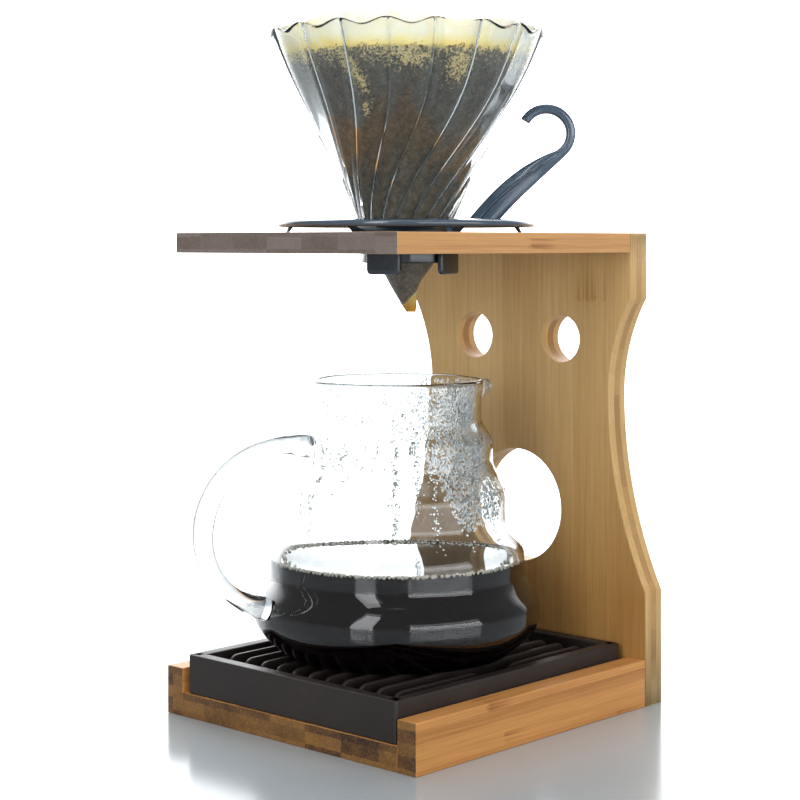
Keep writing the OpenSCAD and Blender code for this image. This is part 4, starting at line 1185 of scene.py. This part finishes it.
class BuildHolder(bpy.types.Operator):
    """Build the holder with its bead and feet, and the retaining ring with its tabs"""

    bl_idname = "pour_over.holder"
    bl_label = "Dripper holder"

    def execute(self, context):
        d = settings("dripper")
        centre = middle_of("dripper_cone")
        top = shelf_top()
        # Grit, roughness, depth of the grain and shine
        finish = (0.9, 0.14, 0.015, 0.9)
        # The holder's plastic, which the hook shares, is lightened by painted glare
        plastic = moulded_plastic("ABS, moulded, blue-black", d.plastic, d.bloom, *finish)
        bead_r = node_box("dripper_holder")[1][0] - centre[0] - d.bead / 2
        bead_z = top + d.bead_rise + d.bead / 2
        plate_z = top + d.plate_rise
        line = bell(d, np.linspace(0, 1, 200))

        def seat(z):
            """Radius of the glass at a height, with its clearance."""
            return np.interp(z, line[:, 1], line[:, 0]) + d.seat

        neck_z = top - d.neck_drop
        inner_z = np.linspace(plate_z, neck_z, 8)
        # Profile: underside of neck and plate, bead, level top, and the seat of the glass
        bead = arc((bead_r, bead_z), d.bead / 2, -150, 100, 18)
        under = cubic([
            (d.neck_end, neck_z), (d.neck_end + 2.5, neck_z + 6), (d.neck_top - 3, plate_z - d.plate),
            (d.neck_top + 4, plate_z - d.plate),
        ], np.linspace(0, 1, 10))
        upper = np.array([(d.plate_flat, plate_z), (d.plate_flat - 3, plate_z)])
        profile = np.concatenate([under, bead, upper, np.stack([seat(inner_z), inner_z], -1)])
        parts = [revolved(profile, 160, centre)]
        t = np.linspace(0, 1, 9)
        spine = cubic([
            (bead_r - 3.4, bead_z), (bead_r - 2.6, bead_z - 1.0), (bead_r - 1.9, top + 1.4),
            (bead_r - 0.9, top),
        ], t)
        taper = 1 - 0.35 * t
        wide = (taper * d.foot / 2)[:, None, None]
        thick = taper[:, None, None]
        section = softened(rectangle((-1, -1), (1, 1)), 0.6, 4)[None]
        for i in range(d.foot_count):
            out, side = level_axes(d.foot_angle + 2 * np.pi * i / d.foot_count)
            mid = np.array([*centre, 0]) + spine[:, :1] * out + spine[:, 1:] * (0, 0, 1)
            rings = mid[:, None] + section[..., 1:] * thick * out + section[..., :1] * wide * side
            rings[-1, :, 2] = top
            parts.append(capped(rings[:, ::-1]))
        shape = joined(parts)
        add_piece("holder_flange", shape, plastic, "dripper", ["dripper_holder"], 50)

        ring_z = np.linspace(neck_z, neck_z - d.ring, 5)
        wall = np.stack([np.maximum(seat(ring_z), d.outlet + d.seat), ring_z], -1)
        rounding = 0.8
        corner = arc((d.neck_end - rounding, neck_z - d.ring + rounding), rounding, -90, 0, 5)
        profile = np.concatenate([corner, [[d.neck_end, neck_z]], wall])
        parts = [revolved(profile, 120, centre)]
        tab_end = node_box("retaining_ring")[0][2]
        corners = rectangle((-d.tab / 2, tab_end), (d.tab / 2, neck_z))
        soft = 0.6
        outline = softened(corners, (d.tab_corner, d.tab_corner, soft, soft), 9)
        plate = eased_plate([outline], d.tab_out - d.tab_thick, d.tab_out, soft)
        for i in range(d.tab_count):
            out, side = level_axes(d.tab_angle + d.tab_spread * i)
            parts.append(placed(plate, (side, (0, 0, 1), out), (*centre, 0)))
        # Painted shade: the ring under the shelf gets a darker copy of the holder's plastic
        black = moulded_plastic("ABS, moulded, black", d.ring_plastic, d.plastic, *finish)
        add_piece("holder_ring", joined(parts), black, "dripper", ["retaining_ring"], 50)
        return {"FINISHED"}


class BuildHook(bpy.types.Operator):
    """Build the hook handle: a stem with a rail and a recessed web that narrows into a round hook"""

    bl_idname = "pour_over.hook"
    bl_label = "Hook handle"

    def execute(self, context):
        d = settings("dripper")
        centre = middle_of("dripper_cone")
        top = shelf_top()
        plate_z = top + d.plate_rise
        mid = np.array([d.hook_reach, top + d.hook_rise])
        inner_r = d.hook_r - d.hook_thick / 2
        outer_r = d.hook_r + d.hook_thick / 2
        t = np.linspace(0, 1, 80)
        hook_points = 59

        def edge(root, lean, pulls, radius, start):
            """One edge of the rod: a cubic curve from its root on the plate, then the hook's arc from
            its start in degrees."""
            end = mid + radius * direction(start)
            foot = np.array([root, plate_z])
            stem = [foot, foot + pulls[0] * direction(lean), end - pulls[1] * direction(start + 90), end]
            hook = arc(mid, radius, start, math.degrees(d.hook_end), hook_points + 1)[1:]
            return np.concatenate([cubic(stem, t), hook])

        inner = edge(d.hook_root_in, 52, (15, 16), inner_r, -70)
        outer = edge(d.hook_root_out, 49, (14, 9), outer_r, -45)
        along = np.concatenate([t, np.ones(hook_points)])
        half_wide = blend(d.hook_root_wide, d.hook_wide, ease(along)) / 2
        phi = full_turn(192)
        roundness = 0.7
        across = np.sign(np.cos(phi)) * np.abs(np.cos(phi)) ** roundness
        wide = np.sign(np.sin(phi)) * np.abs(np.sin(phi)) ** roundness
        # Crest across the rod, from -1 at its inner edge to 1. Beyond it the web is recessed, before it
        # the rail slopes off, and both fade out where the hook starts
        web_depth, web_step, slope_depth = 0.45, 0.16, 0.3
        bead_wide, bead_shift = 0.09, 0.04
        crest = (-0.36 + 0.46 * ease(along))[:, None]
        fade = ease((0.93 - along) / 0.35)[:, None]
        web = web_depth * ease((across[None] - crest) / web_step) * fade
        bead = np.exp(-((across[None] - crest + bead_shift) / bead_wide) ** 2)
        slope = slope_depth * fade * np.clip((crest - across[None]) / (1 + crest), 0, 1)
        squeezed = wide[None] * half_wide[:, None] * (1 - web - slope + d.crest * bead)
        middle = (inner + outer) / 2
        half = (outer - inner) / 2
        radius = middle[:, None, 0] + half[:, None, 0] * across[None]
        height = middle[:, None, 1] + half[:, None, 1] * across[None]
        rings = upright(radius, squeezed, height, d.hook_angle, centre)
        tip = rings[-1].mean(0)
        ends = np.stack([blend(tip, rings[-1], kept) for kept in (0.96, 0.8)])
        step = (tip - rings[-2].mean(0)) / np.linalg.norm(tip - rings[-2].mean(0))
        ends += np.array([0.18, 0.32])[:, None, None] * step
        shape = capped(np.concatenate([rings, ends]))
        plastic = bpy.data.materials["ABS, moulded, blue-black"]
        add_piece("holder_hook", shape, plastic, "dripper", ["hook_handle"], 75)
        return {"FINISHED"}


class BuildDripperGlass(bpy.types.Operator):
    """Build the fluted glass: sine arches with creases between them, swirling down to the outlet"""

    bl_idname = "pour_over.dripper_glass"
    bl_label = "Dripper glass"

    def execute(self, context):
        d = settings("dripper")
        f = settings("filter")
        centre = middle_of("dripper_cone")
        near = (0, 0.25, 0.5, 0.75, 1, 1.3, 1.8, 2.4)
        soft = 0.06

        def wall(t, inward, lift=0.0):
            """Row of points: 0 inward is the fluted outside, 1 the inside with a ridge at each crease."""
            t = np.asarray(t, float)
            line = bell(d, t)
            angle, away, part = flute_grid(d, t, near, 4)
            t = t[:, None]
            depth = blend(d.flute_end, d.flute_rim, t)
            swell = np.abs(np.sin(np.pi * part))
            swell = np.sqrt(swell ** 2 + soft ** 2) - soft
            half = blend(d.ridge_end, d.ridge, t)
            ridge = math.tan(d.ridge_tilt) * np.maximum(half - np.abs(away), 0)
            outside = depth * (1 - swell)
            inside = depth + d.glass + (f.fit + d.contact) * (1 - t ** 12) + ridge
            wave = d.wave * np.cos(2 * np.pi * part) * t ** 8 + lift
            radius = line[:, :1] - outside - inward * (inside - outside) + d.upper_lean * wave
            return around(radius, line[:, 1:] + wave, angle, centre)

        t = np.linspace(0, 1, 64)
        lip = np.linspace(0, np.pi, 7)[1:-1]
        rounding = d.glass / 2
        rim = [wall([1.0], (1 - np.cos(a)) / 2, rounding * np.sin(a)) for a in lip]
        foot = [wall([0.0], (1 + np.cos(a)) / 2, -0.6 * rounding * np.sin(a)) for a in lip]
        rings = np.concatenate([wall(t, 0.0), *rim, wall(t[::-1], 1.0), *foot])
        glass = clear_glass("Borosilicate glass, fluted", d.tint, 14.0, 0.12)
        shape = skin(rings, wrap_rows=True)
        add_piece("dripper_bell", shape, glass, "dripper", ["dripper_cone"], 50)
        return {"FINISHED"}


class BuildFilter(bpy.types.Operator):
    """Build the soaked paper with its uneven top edge, and the dished grounds"""

    bl_idname = "pour_over.filter"
    bl_label = "Filter and grounds"

    def execute(self, context):
        d = settings("dripper")
        f = settings("filter")
        centre = middle_of("dripper_cone")
        top = shelf_top()
        paper_top = node_box("paper_filter")[1][2]
        line, t = crease_line(d, f, 0.0)
        rim_z = line[-1, 1]
        above = np.linspace(0.25, 1, 5)
        upper_z = blend(rim_z, paper_top, above)
        upper = np.stack([line[-1, 0] + d.upper_lean * (upper_z - rim_z), upper_z], -1)
        line = np.concatenate([line, upper])
        t = np.concatenate([t, np.ones(len(upper))])
        angle, away, _ = flute_grid(d, t, (0, 1, 2, 3.2), 3)
        # Top edge: three sine waves and a crest at the seam, fading out below the rim of the glass
        deep = 14
        from_seam = turn_between(f.seam, angle)
        uneven = 0.5 * np.sin(5 * angle + 1.0) + 0.35 * np.sin(9 * angle + 2.2) + 0.2 * np.sin(17 * angle)
        crest = 2.3 * np.exp(-(from_seam / 0.35) ** 2)
        rise = np.minimum(uneven + crest - 1.2, 1.0)
        rise = rise - rise.max()
        climb = np.clip((line[:, 1] - rim_z + deep) / (paper_top - rim_z + deep), 0, 1)[:, None] ** 2
        # Dents at the ridges of the glass, and two sides that stand off it
        half = blend(d.ridge_end, d.ridge, t)[:, None]
        held = np.clip((line[:, 1] - top + d.outlet_drop) / 6, 0, 1)[:, None]
        dent = d.dent * np.exp(-(away / (1.55 * half)) ** 2) * held
        sides = np.exp(-(np.sin(angle - f.loose) / 0.42) ** 2)
        high_up = np.clip((line[:, 1] - top - 20) / 30, 0, 1)[:, None]
        dent = np.maximum(dent, f.lift * sides * high_up)
        # Tip that leans aside and is folded in on that side
        down = np.clip((top - d.outlet_drop - line[:, 1]) / (f.tip_drop - d.outlet_drop), 0, 1)[:, None]
        skew = f.tip_skew * down ** 2
        folded = np.exp(-(turn_between(f.tip_turn, angle) / 0.9) ** 2)
        dent = dent + f.tip_fold * folded * np.sin(np.pi * down) ** 2

        def sheet(inset):
            """Points of the paper's outside, moved in by an inset."""
            radius = np.maximum(line[:, :1] - inset - dent, 0.4)
            points = around(radius, line[:, 1:] + rise * climb, angle, centre)
            points[..., 0] += skew * math.cos(f.tip_turn)
            points[..., 1] += skew * math.sin(f.tip_turn)
            return points

        inside = sheet(f.paper)[::-1].copy()
        inside[-1, :, 2] += f.paper
        paper = filter_paper(centre, top)
        shape = capped(np.concatenate([sheet(0.0), inside]))
        add_piece("paper_cone", shape, paper, "filter", ["paper_filter"], 60)

        edge_z = top + f.edge_rise
        clearance = 0.1
        wall, _ = crease_line(d, f, f.paper + d.dent + clearance)
        edge_r = np.interp(edge_z, wall[:, 1], wall[:, 0])
        wall = wall[(wall[:, 1] < edge_z) & (wall[:, 0] > 1.5)]
        u = np.linspace(1, 0.02, 60)
        dish_r = (edge_r - f.edge_thick) * u
        dish_z = top + f.middle_rise + (f.edge_rise - f.middle_rise) * ease(u)
        outline = np.concatenate([wall, [[edge_r, edge_z]], np.stack([dish_r, dish_z], -1)])
        turns = full_turn(240)
        rings = turned(outline, turns, centre)
        random = np.random.default_rng(7)
        rough = random.normal(0, 1, (len(u), len(turns)))
        smooth = sum(np.roll(rough, (i, j), (0, 1)) for i in (-1, 0, 1) for j in (-1, 0, 1)) / 3
        slope = np.clip((1 - u) * 8, 0, 1)[:, None] * np.clip(u * 4, 0, 1)[:, None]
        rings[-len(u):, :, 2] += slope * (0.22 * rough + 0.4 * smooth)
        add_piece("grounds_bed", capped(rings), wet_grounds(), "filter", ["coffee_bed"])
        return {"FINISHED"}


class BuildServer(bpy.types.Operator):
    """Build the blown jug with its steps and spout, and its rod handle"""

    bl_idname = "pour_over.server"
    bl_label = "Server"

    def execute(self, context):
        s = settings("server")
        centre, foot_z = server_place()
        # More points near the spout
        even = full_turn(288)
        angle = even - 0.45 * np.sin(turn_between(s.spout_angle, even))
        hollow_r, hollow, bend_z = 45, 0.9, 2.0
        under_r = np.array([0.5, 12, 24, 34, 41, hollow_r])
        under = np.stack([under_r, hollow * (1 - (under_r / hollow_r) ** 2)], -1)
        bend_r = jug_radius(s, np.array(bend_z))
        bend = cubic([(hollow_r, 0), (47.5, 0), (49, 0.6), (bend_r, bend_z)], np.linspace(0, 1, 7))[1:]
        half = s.wall / 2
        lip_low = s.height - half
        heights = np.linspace(bend_z, lip_low, 130)[1:, None]
        outer = around(*jug_wall(s, heights, angle, 0.0), angle, centre)
        lip = np.linspace(0, np.pi, 7)[1:-1, None]
        lip_z = lip_low + half * np.sin(lip)
        lip_r, lip_h = jug_wall(s, np.broadcast_to(lip_low, lip.shape), angle, 0.0)
        lip_r = lip_r - half + half * np.cos(lip)
        lip_rings = around(lip_r, lip_h + lip_z - s.height + half, angle, centre)
        inner_low = s.bottom + FLOOR_BEND
        inside = np.linspace(lip_low, inner_low, 120)[:, None]
        inner = around(*jug_wall(s, inside, angle, s.wall), angle, centre)
        last_r = jug_radius(s, np.array(inner_low)) - s.wall
        floor = cubic(floor_curve(s, last_r, s.bottom)[::-1], np.linspace(0, 1, 8))[1:]
        floor = np.concatenate([floor, [(r, s.bottom) for r in (26, 12, 0.5)]])
        under, bend, floor = (turned(line, angle, centre) for line in (under, bend, floor))
        rings = np.concatenate([under, bend, outer, lip_rings, inner, floor])
        rings[..., 2] += foot_z
        glass = clear_glass("Borosilicate glass, blown", s.tint, 22.0, 0.15)
        add_piece("server_glass", capped(rings), glass, "server", ["server_jug"], 70)

        top_x = float(jug_radius(s, np.array(s.handle_top_z)))
        low_x = float(jug_radius(s, np.array(s.handle_low_z)))
        ends = [
            (top_x, s.handle_top_z),
            (top_x + s.handle_top_out, s.handle_top_z + s.handle_top_rise),
            (low_x + s.handle_low_out, s.handle_low_z + s.handle_low_rise),
            (low_x, s.handle_low_z),
        ]
        t = np.linspace(0, 1, 120)
        spine = cubic(ends, t)
        way = unit(np.gradient(spine, axis=0))
        steep = 13
        swell = np.exp(-(t * steep) ** 2) + np.exp(-((1 - t) * steep) ** 2)
        thick = blend(s.handle_end, s.handle, np.sin(np.pi * t)) + (s.weld - s.handle_end) * swell
        phi = full_turn(28)
        sideways = np.stack([way[:, 1], -way[:, 0]], -1)
        half = (thick / 2)[:, None]
        in_plane = spine[:, None] + half[..., None] * np.cos(phi)[None, :, None] * sideways[:, None]
        across = half * np.sin(phi)[None]
        height = in_plane[..., 1] + foot_z
        rings = upright(in_plane[..., 0], across, height, s.spout_angle + np.pi, centre)
        add_piece("server_rod", capped(rings), glass, "server", ["server_handle"], 70)
        return {"FINISHED"}


class BuildCoffee(bpy.types.Operator):
    """Build the coffee with its meniscus and the rows of bubbles at the glass"""

    bl_idname = "pour_over.coffee"
    bl_label = "Coffee"

    def execute(self, context):
        s = settings("server")
        centre, foot_z = server_place()
        touch = 0.05
        low = s.bottom + FLOOR_BEND
        low_r = float(jug_radius(s, np.array(low))) - s.wall + touch
        floor_z = s.bottom - touch
        floor = cubic(floor_curve(s, low_r, floor_z), np.linspace(0, 1, 8))
        floor = np.concatenate([[(0.5, floor_z), (20, floor_z)], floor])
        meniscus, reach = 0.9, 0.9
        heights = np.linspace(low, s.level + meniscus, 50)[1:]
        side = np.stack([jug_radius(s, heights) - s.wall + touch, heights], -1)
        wall_r = side[-1, 0]
        fall = np.linspace(0.02, 4.5, 10)
        edge = np.stack([wall_r - fall, s.level + meniscus * np.exp(-fall / reach)], -1)
        level = np.stack([np.linspace(wall_r - 8, 0.5, 12), np.full(12, s.level)], -1)
        outline = np.concatenate([floor, side, edge, level])
        shape = capped(turned(outline + (0, foot_z), full_turn(240), centre))
        add_piece("coffee_brew", shape, brewed_coffee_liquid(), "server", ["brewed_coffee"], 60)

        random = np.random.default_rng(11)

        def spread(count):
            """Directions in even steps round a full turn, each moved a little at random."""
            return 2 * np.pi * (np.arange(count) + random.uniform(-0.3, 0.3, count)) / count

        sizes, places, radii = [], [], []
        for count, inset, scatter in ((150, 0.4, 0.4), (90, 1.6, 2.5)):
            size = random.uniform(0.6, 0.95, count)
            sizes.append(size)
            places.append(spread(count))
            radii.append(wall_r - 0.2 - size - inset - scatter * random.random(count))
        size, place, radius = (np.concatenate(values) for values in (sizes, places, radii))
        sits = s.level + meniscus * np.exp(-(wall_r - radius) / reach) - 0.25 * size
        frames = np.broadcast_to(np.eye(3), (len(size), 3, 3))
        bubbles = scattered(dome(1.15, 9, 3), around(radius, sits + foot_z, place, centre), frames, size)
        count = 170
        place = spread(count)
        size = random.uniform(0.6, 1.0, count)
        outward, side = level_axes(place)
        frames = np.stack([side, np.broadcast_to((0.0, 0.0, 1.0), side.shape), outward], 1)
        centres = around(wall_r - 0.02, s.level + meniscus - 0.2 * size + foot_z, place, centre)
        pressed = scattered(dome(0.3, 9, 2), centres, frames, size)
        film = water_film("Bubble film", s.bubble, 0.1, 0.0)
        add_piece("coffee_bubbles", joined([bubbles, pressed]), film, "server")
        return {"FINISHED"}


class BuildCondensation(bpy.types.Operator):
    """Scatter condensed water over the upper inside of the jug: fine mist, and larger drops that run"""

    bl_idname = "pour_over.condensation"
    bl_label = "Condensation"

    def execute(self, context):
        s = settings("server")
        centre, foot_z = server_place()
        random = np.random.default_rng(23)

        def lobe(place, middle, wide):
            """Bell curve round a direction, both in degrees."""
            return np.exp(-(turn_between(math.radians(middle), place) / math.radians(wide)) ** 2)

        def misted(place, height):
            """Share of mist, from 0 below its wavy lower edge to 1 above it."""
            usual, dip, rise, soft = 88, 34, 10, 7
            edge = usual - dip * lobe(place, 5, 30) + rise * lobe(place, -62, 25)
            edge += 4 * np.sin(5 * place) + 3 * np.sin(11 * place + 1)
            return np.clip((height - edge) / soft, 0, 1)

        def strewn(count, low, high):
            """Random directions and heights on the wall."""
            return random.uniform(0, 2 * np.pi, count), random.uniform(low, high, count)

        def on_wall(name, place, height, size, template, material):
            """Copies of a small dome on the inside of the wall."""
            radius, level = jug_wall(s, height, place, s.wall)
            step = 0.5
            higher, _ = jug_wall(s, height + step, place, s.wall)
            slope = (higher - radius) / step
            outward, side = level_axes(place)
            inward = unit(-outward + slope[:, None] * (0, 0, 1))
            along = np.cross(inward, side)
            stretch = random.uniform(0.85, 1.5, len(place))[:, None]
            frames = np.stack([side, along * stretch, inward], 1)
            centres = around(radius, level + foot_z, place, centre) + 0.02 * inward
            add_piece(name, scattered(template, centres, frames, size), material, "server")

        # Large drops: narrow runs down the wall, two clusters, and a few in the mist
        place, height = strewn(30000, s.level + 8, s.height - 2.5)
        runs = sum(lobe(place, way, 2.2) for way in (-48, -27, -8, 12, 121, 205, 262))
        runs = runs * np.clip((height - 46) / 10, 0, 1) * np.clip((96 - height) / 8, 0, 1)
        cluster = sum(
            lobe(place, middle, wide) * np.exp(-((height - level) / tall) ** 2)
            for middle, wide, level, tall in ((-84, 13, 87, 9), (140, 18, 84, 10))
        )
        fog = misted(place, height)
        kept = random.random(len(place)) < np.clip(0.02 * fog + 0.42 * runs + 0.2 * cluster, 0, 0.6)
        coarse = np.clip((runs + cluster - fog)[kept], 0, 1)
        size = np.clip(np.exp(random.normal(-1.12, 0.3, len(coarse)) + 0.42 * coarse), 0.18, 1.05)
        water = water_film("Condensed water", s.mist, 0.85, 0.0)
        on_wall("server_drops", place[kept], height[kept], size, dome(0.5, 7, 2), water)

        # Fine mist, dense on one side and beside the spout
        fine = water_film("Condensed water, fine mist", s.mist, 1.0, 0.6)
        place, height = strewn(40000, s.level + 12, s.height - 2)
        dense = np.clip(0.05 + 1.3 * lobe(place, 12, 34) + 0.8 * lobe(place, 75, 30), 0, 1)
        kept = random.random(len(place)) < misted(place, height) * dense
        size = random.uniform(0.28, 0.62, kept.sum())
        on_wall("server_mist", place[kept], height[kept], size, dome(0.5, 6, 2), fine)
        return {"FINISHED"}


class SetStage(bpy.types.Operator):
    """Set the pale floor, the soft studio light and the camera"""

    bl_idname = "pour_over.stage"
    bl_label = "Stage"

    def execute(self, context):
        s = settings("stage")
        scene = context.scene
        scene.view_settings.view_transform = "Standard"
        lines = 9
        reach = np.linspace(-4000, 4000, lines)
        x, y = np.meshgrid(reach, reach)
        points = np.stack([x, y, np.zeros_like(x)], -1).reshape(-1, 3)
        mesh = bpy.data.meshes.new("floor")
        mesh.from_pydata((points * MM).tolist(), [], grid_quads(lines, lines).tolist())
        mesh.materials.append(lacquered_table())
        floor = bpy.data.objects.new("floor", mesh)
        scene.collection.objects.link(floor)
        scene.world = studio_light()

        lens = bpy.data.cameras.new("Camera")
        lens.sensor_width = 36.0
        lens.lens = s.lens
        lens.shift_y = s.shift
        camera = bpy.data.objects.new("Camera", lens)
        camera.location = np.array([s.camera_x, s.camera_y, s.camera_z]) * MM
        camera.rotation_euler = (math.pi / 2, 0, s.camera_turn)
        scene.collection.objects.link(camera)
        scene.camera = camera
        return {"FINISHED"}


STEPS = (
    SetStage, BuildBackPanel, BuildShelf, BuildBase, FinishFasteners, BuildDripTray, BuildHolder, BuildHook,
    BuildDripperGlass, BuildFilter, BuildServer, BuildCoffee, BuildCondensation,
)


class PourOverPanel(bpy.types.Panel):
    """Lists the pieces of the stand in the sidebar."""

    bl_idname = "VIEW3D_PT_pour_over"
    bl_label = "Pour-over stand"
    bl_space_type = "VIEW_3D"
    bl_region_type = "UI"
    bl_category = "Pour-over"

    def draw(self, context):
        for step in STEPS:
            self.layout.operator(step.bl_idname)


CLASSES = (
    StandSettings, TraySettings, DripperSettings, FilterSettings, ServerSettings, StageSettings,
    PourOverSettings, *STEPS, PourOverPanel,
)


def register():
    """Make the settings, operators and panel known to Blender."""
    for made in CLASSES:
        bpy.utils.register_class(made)
    bpy.types.Scene.pour_over = PointerProperty(type=PourOverSettings)


def unregister():
    """Take them away again."""
    del bpy.types.Scene.pour_over
    for made in reversed(CLASSES):
        bpy.utils.unregister_class(made)


def main():
    register()
    for step in STEPS:
        group, name = step.bl_idname.split(".")
        getattr(getattr(bpy.ops, group), name)()


if __name__ == "__main__":
    main()
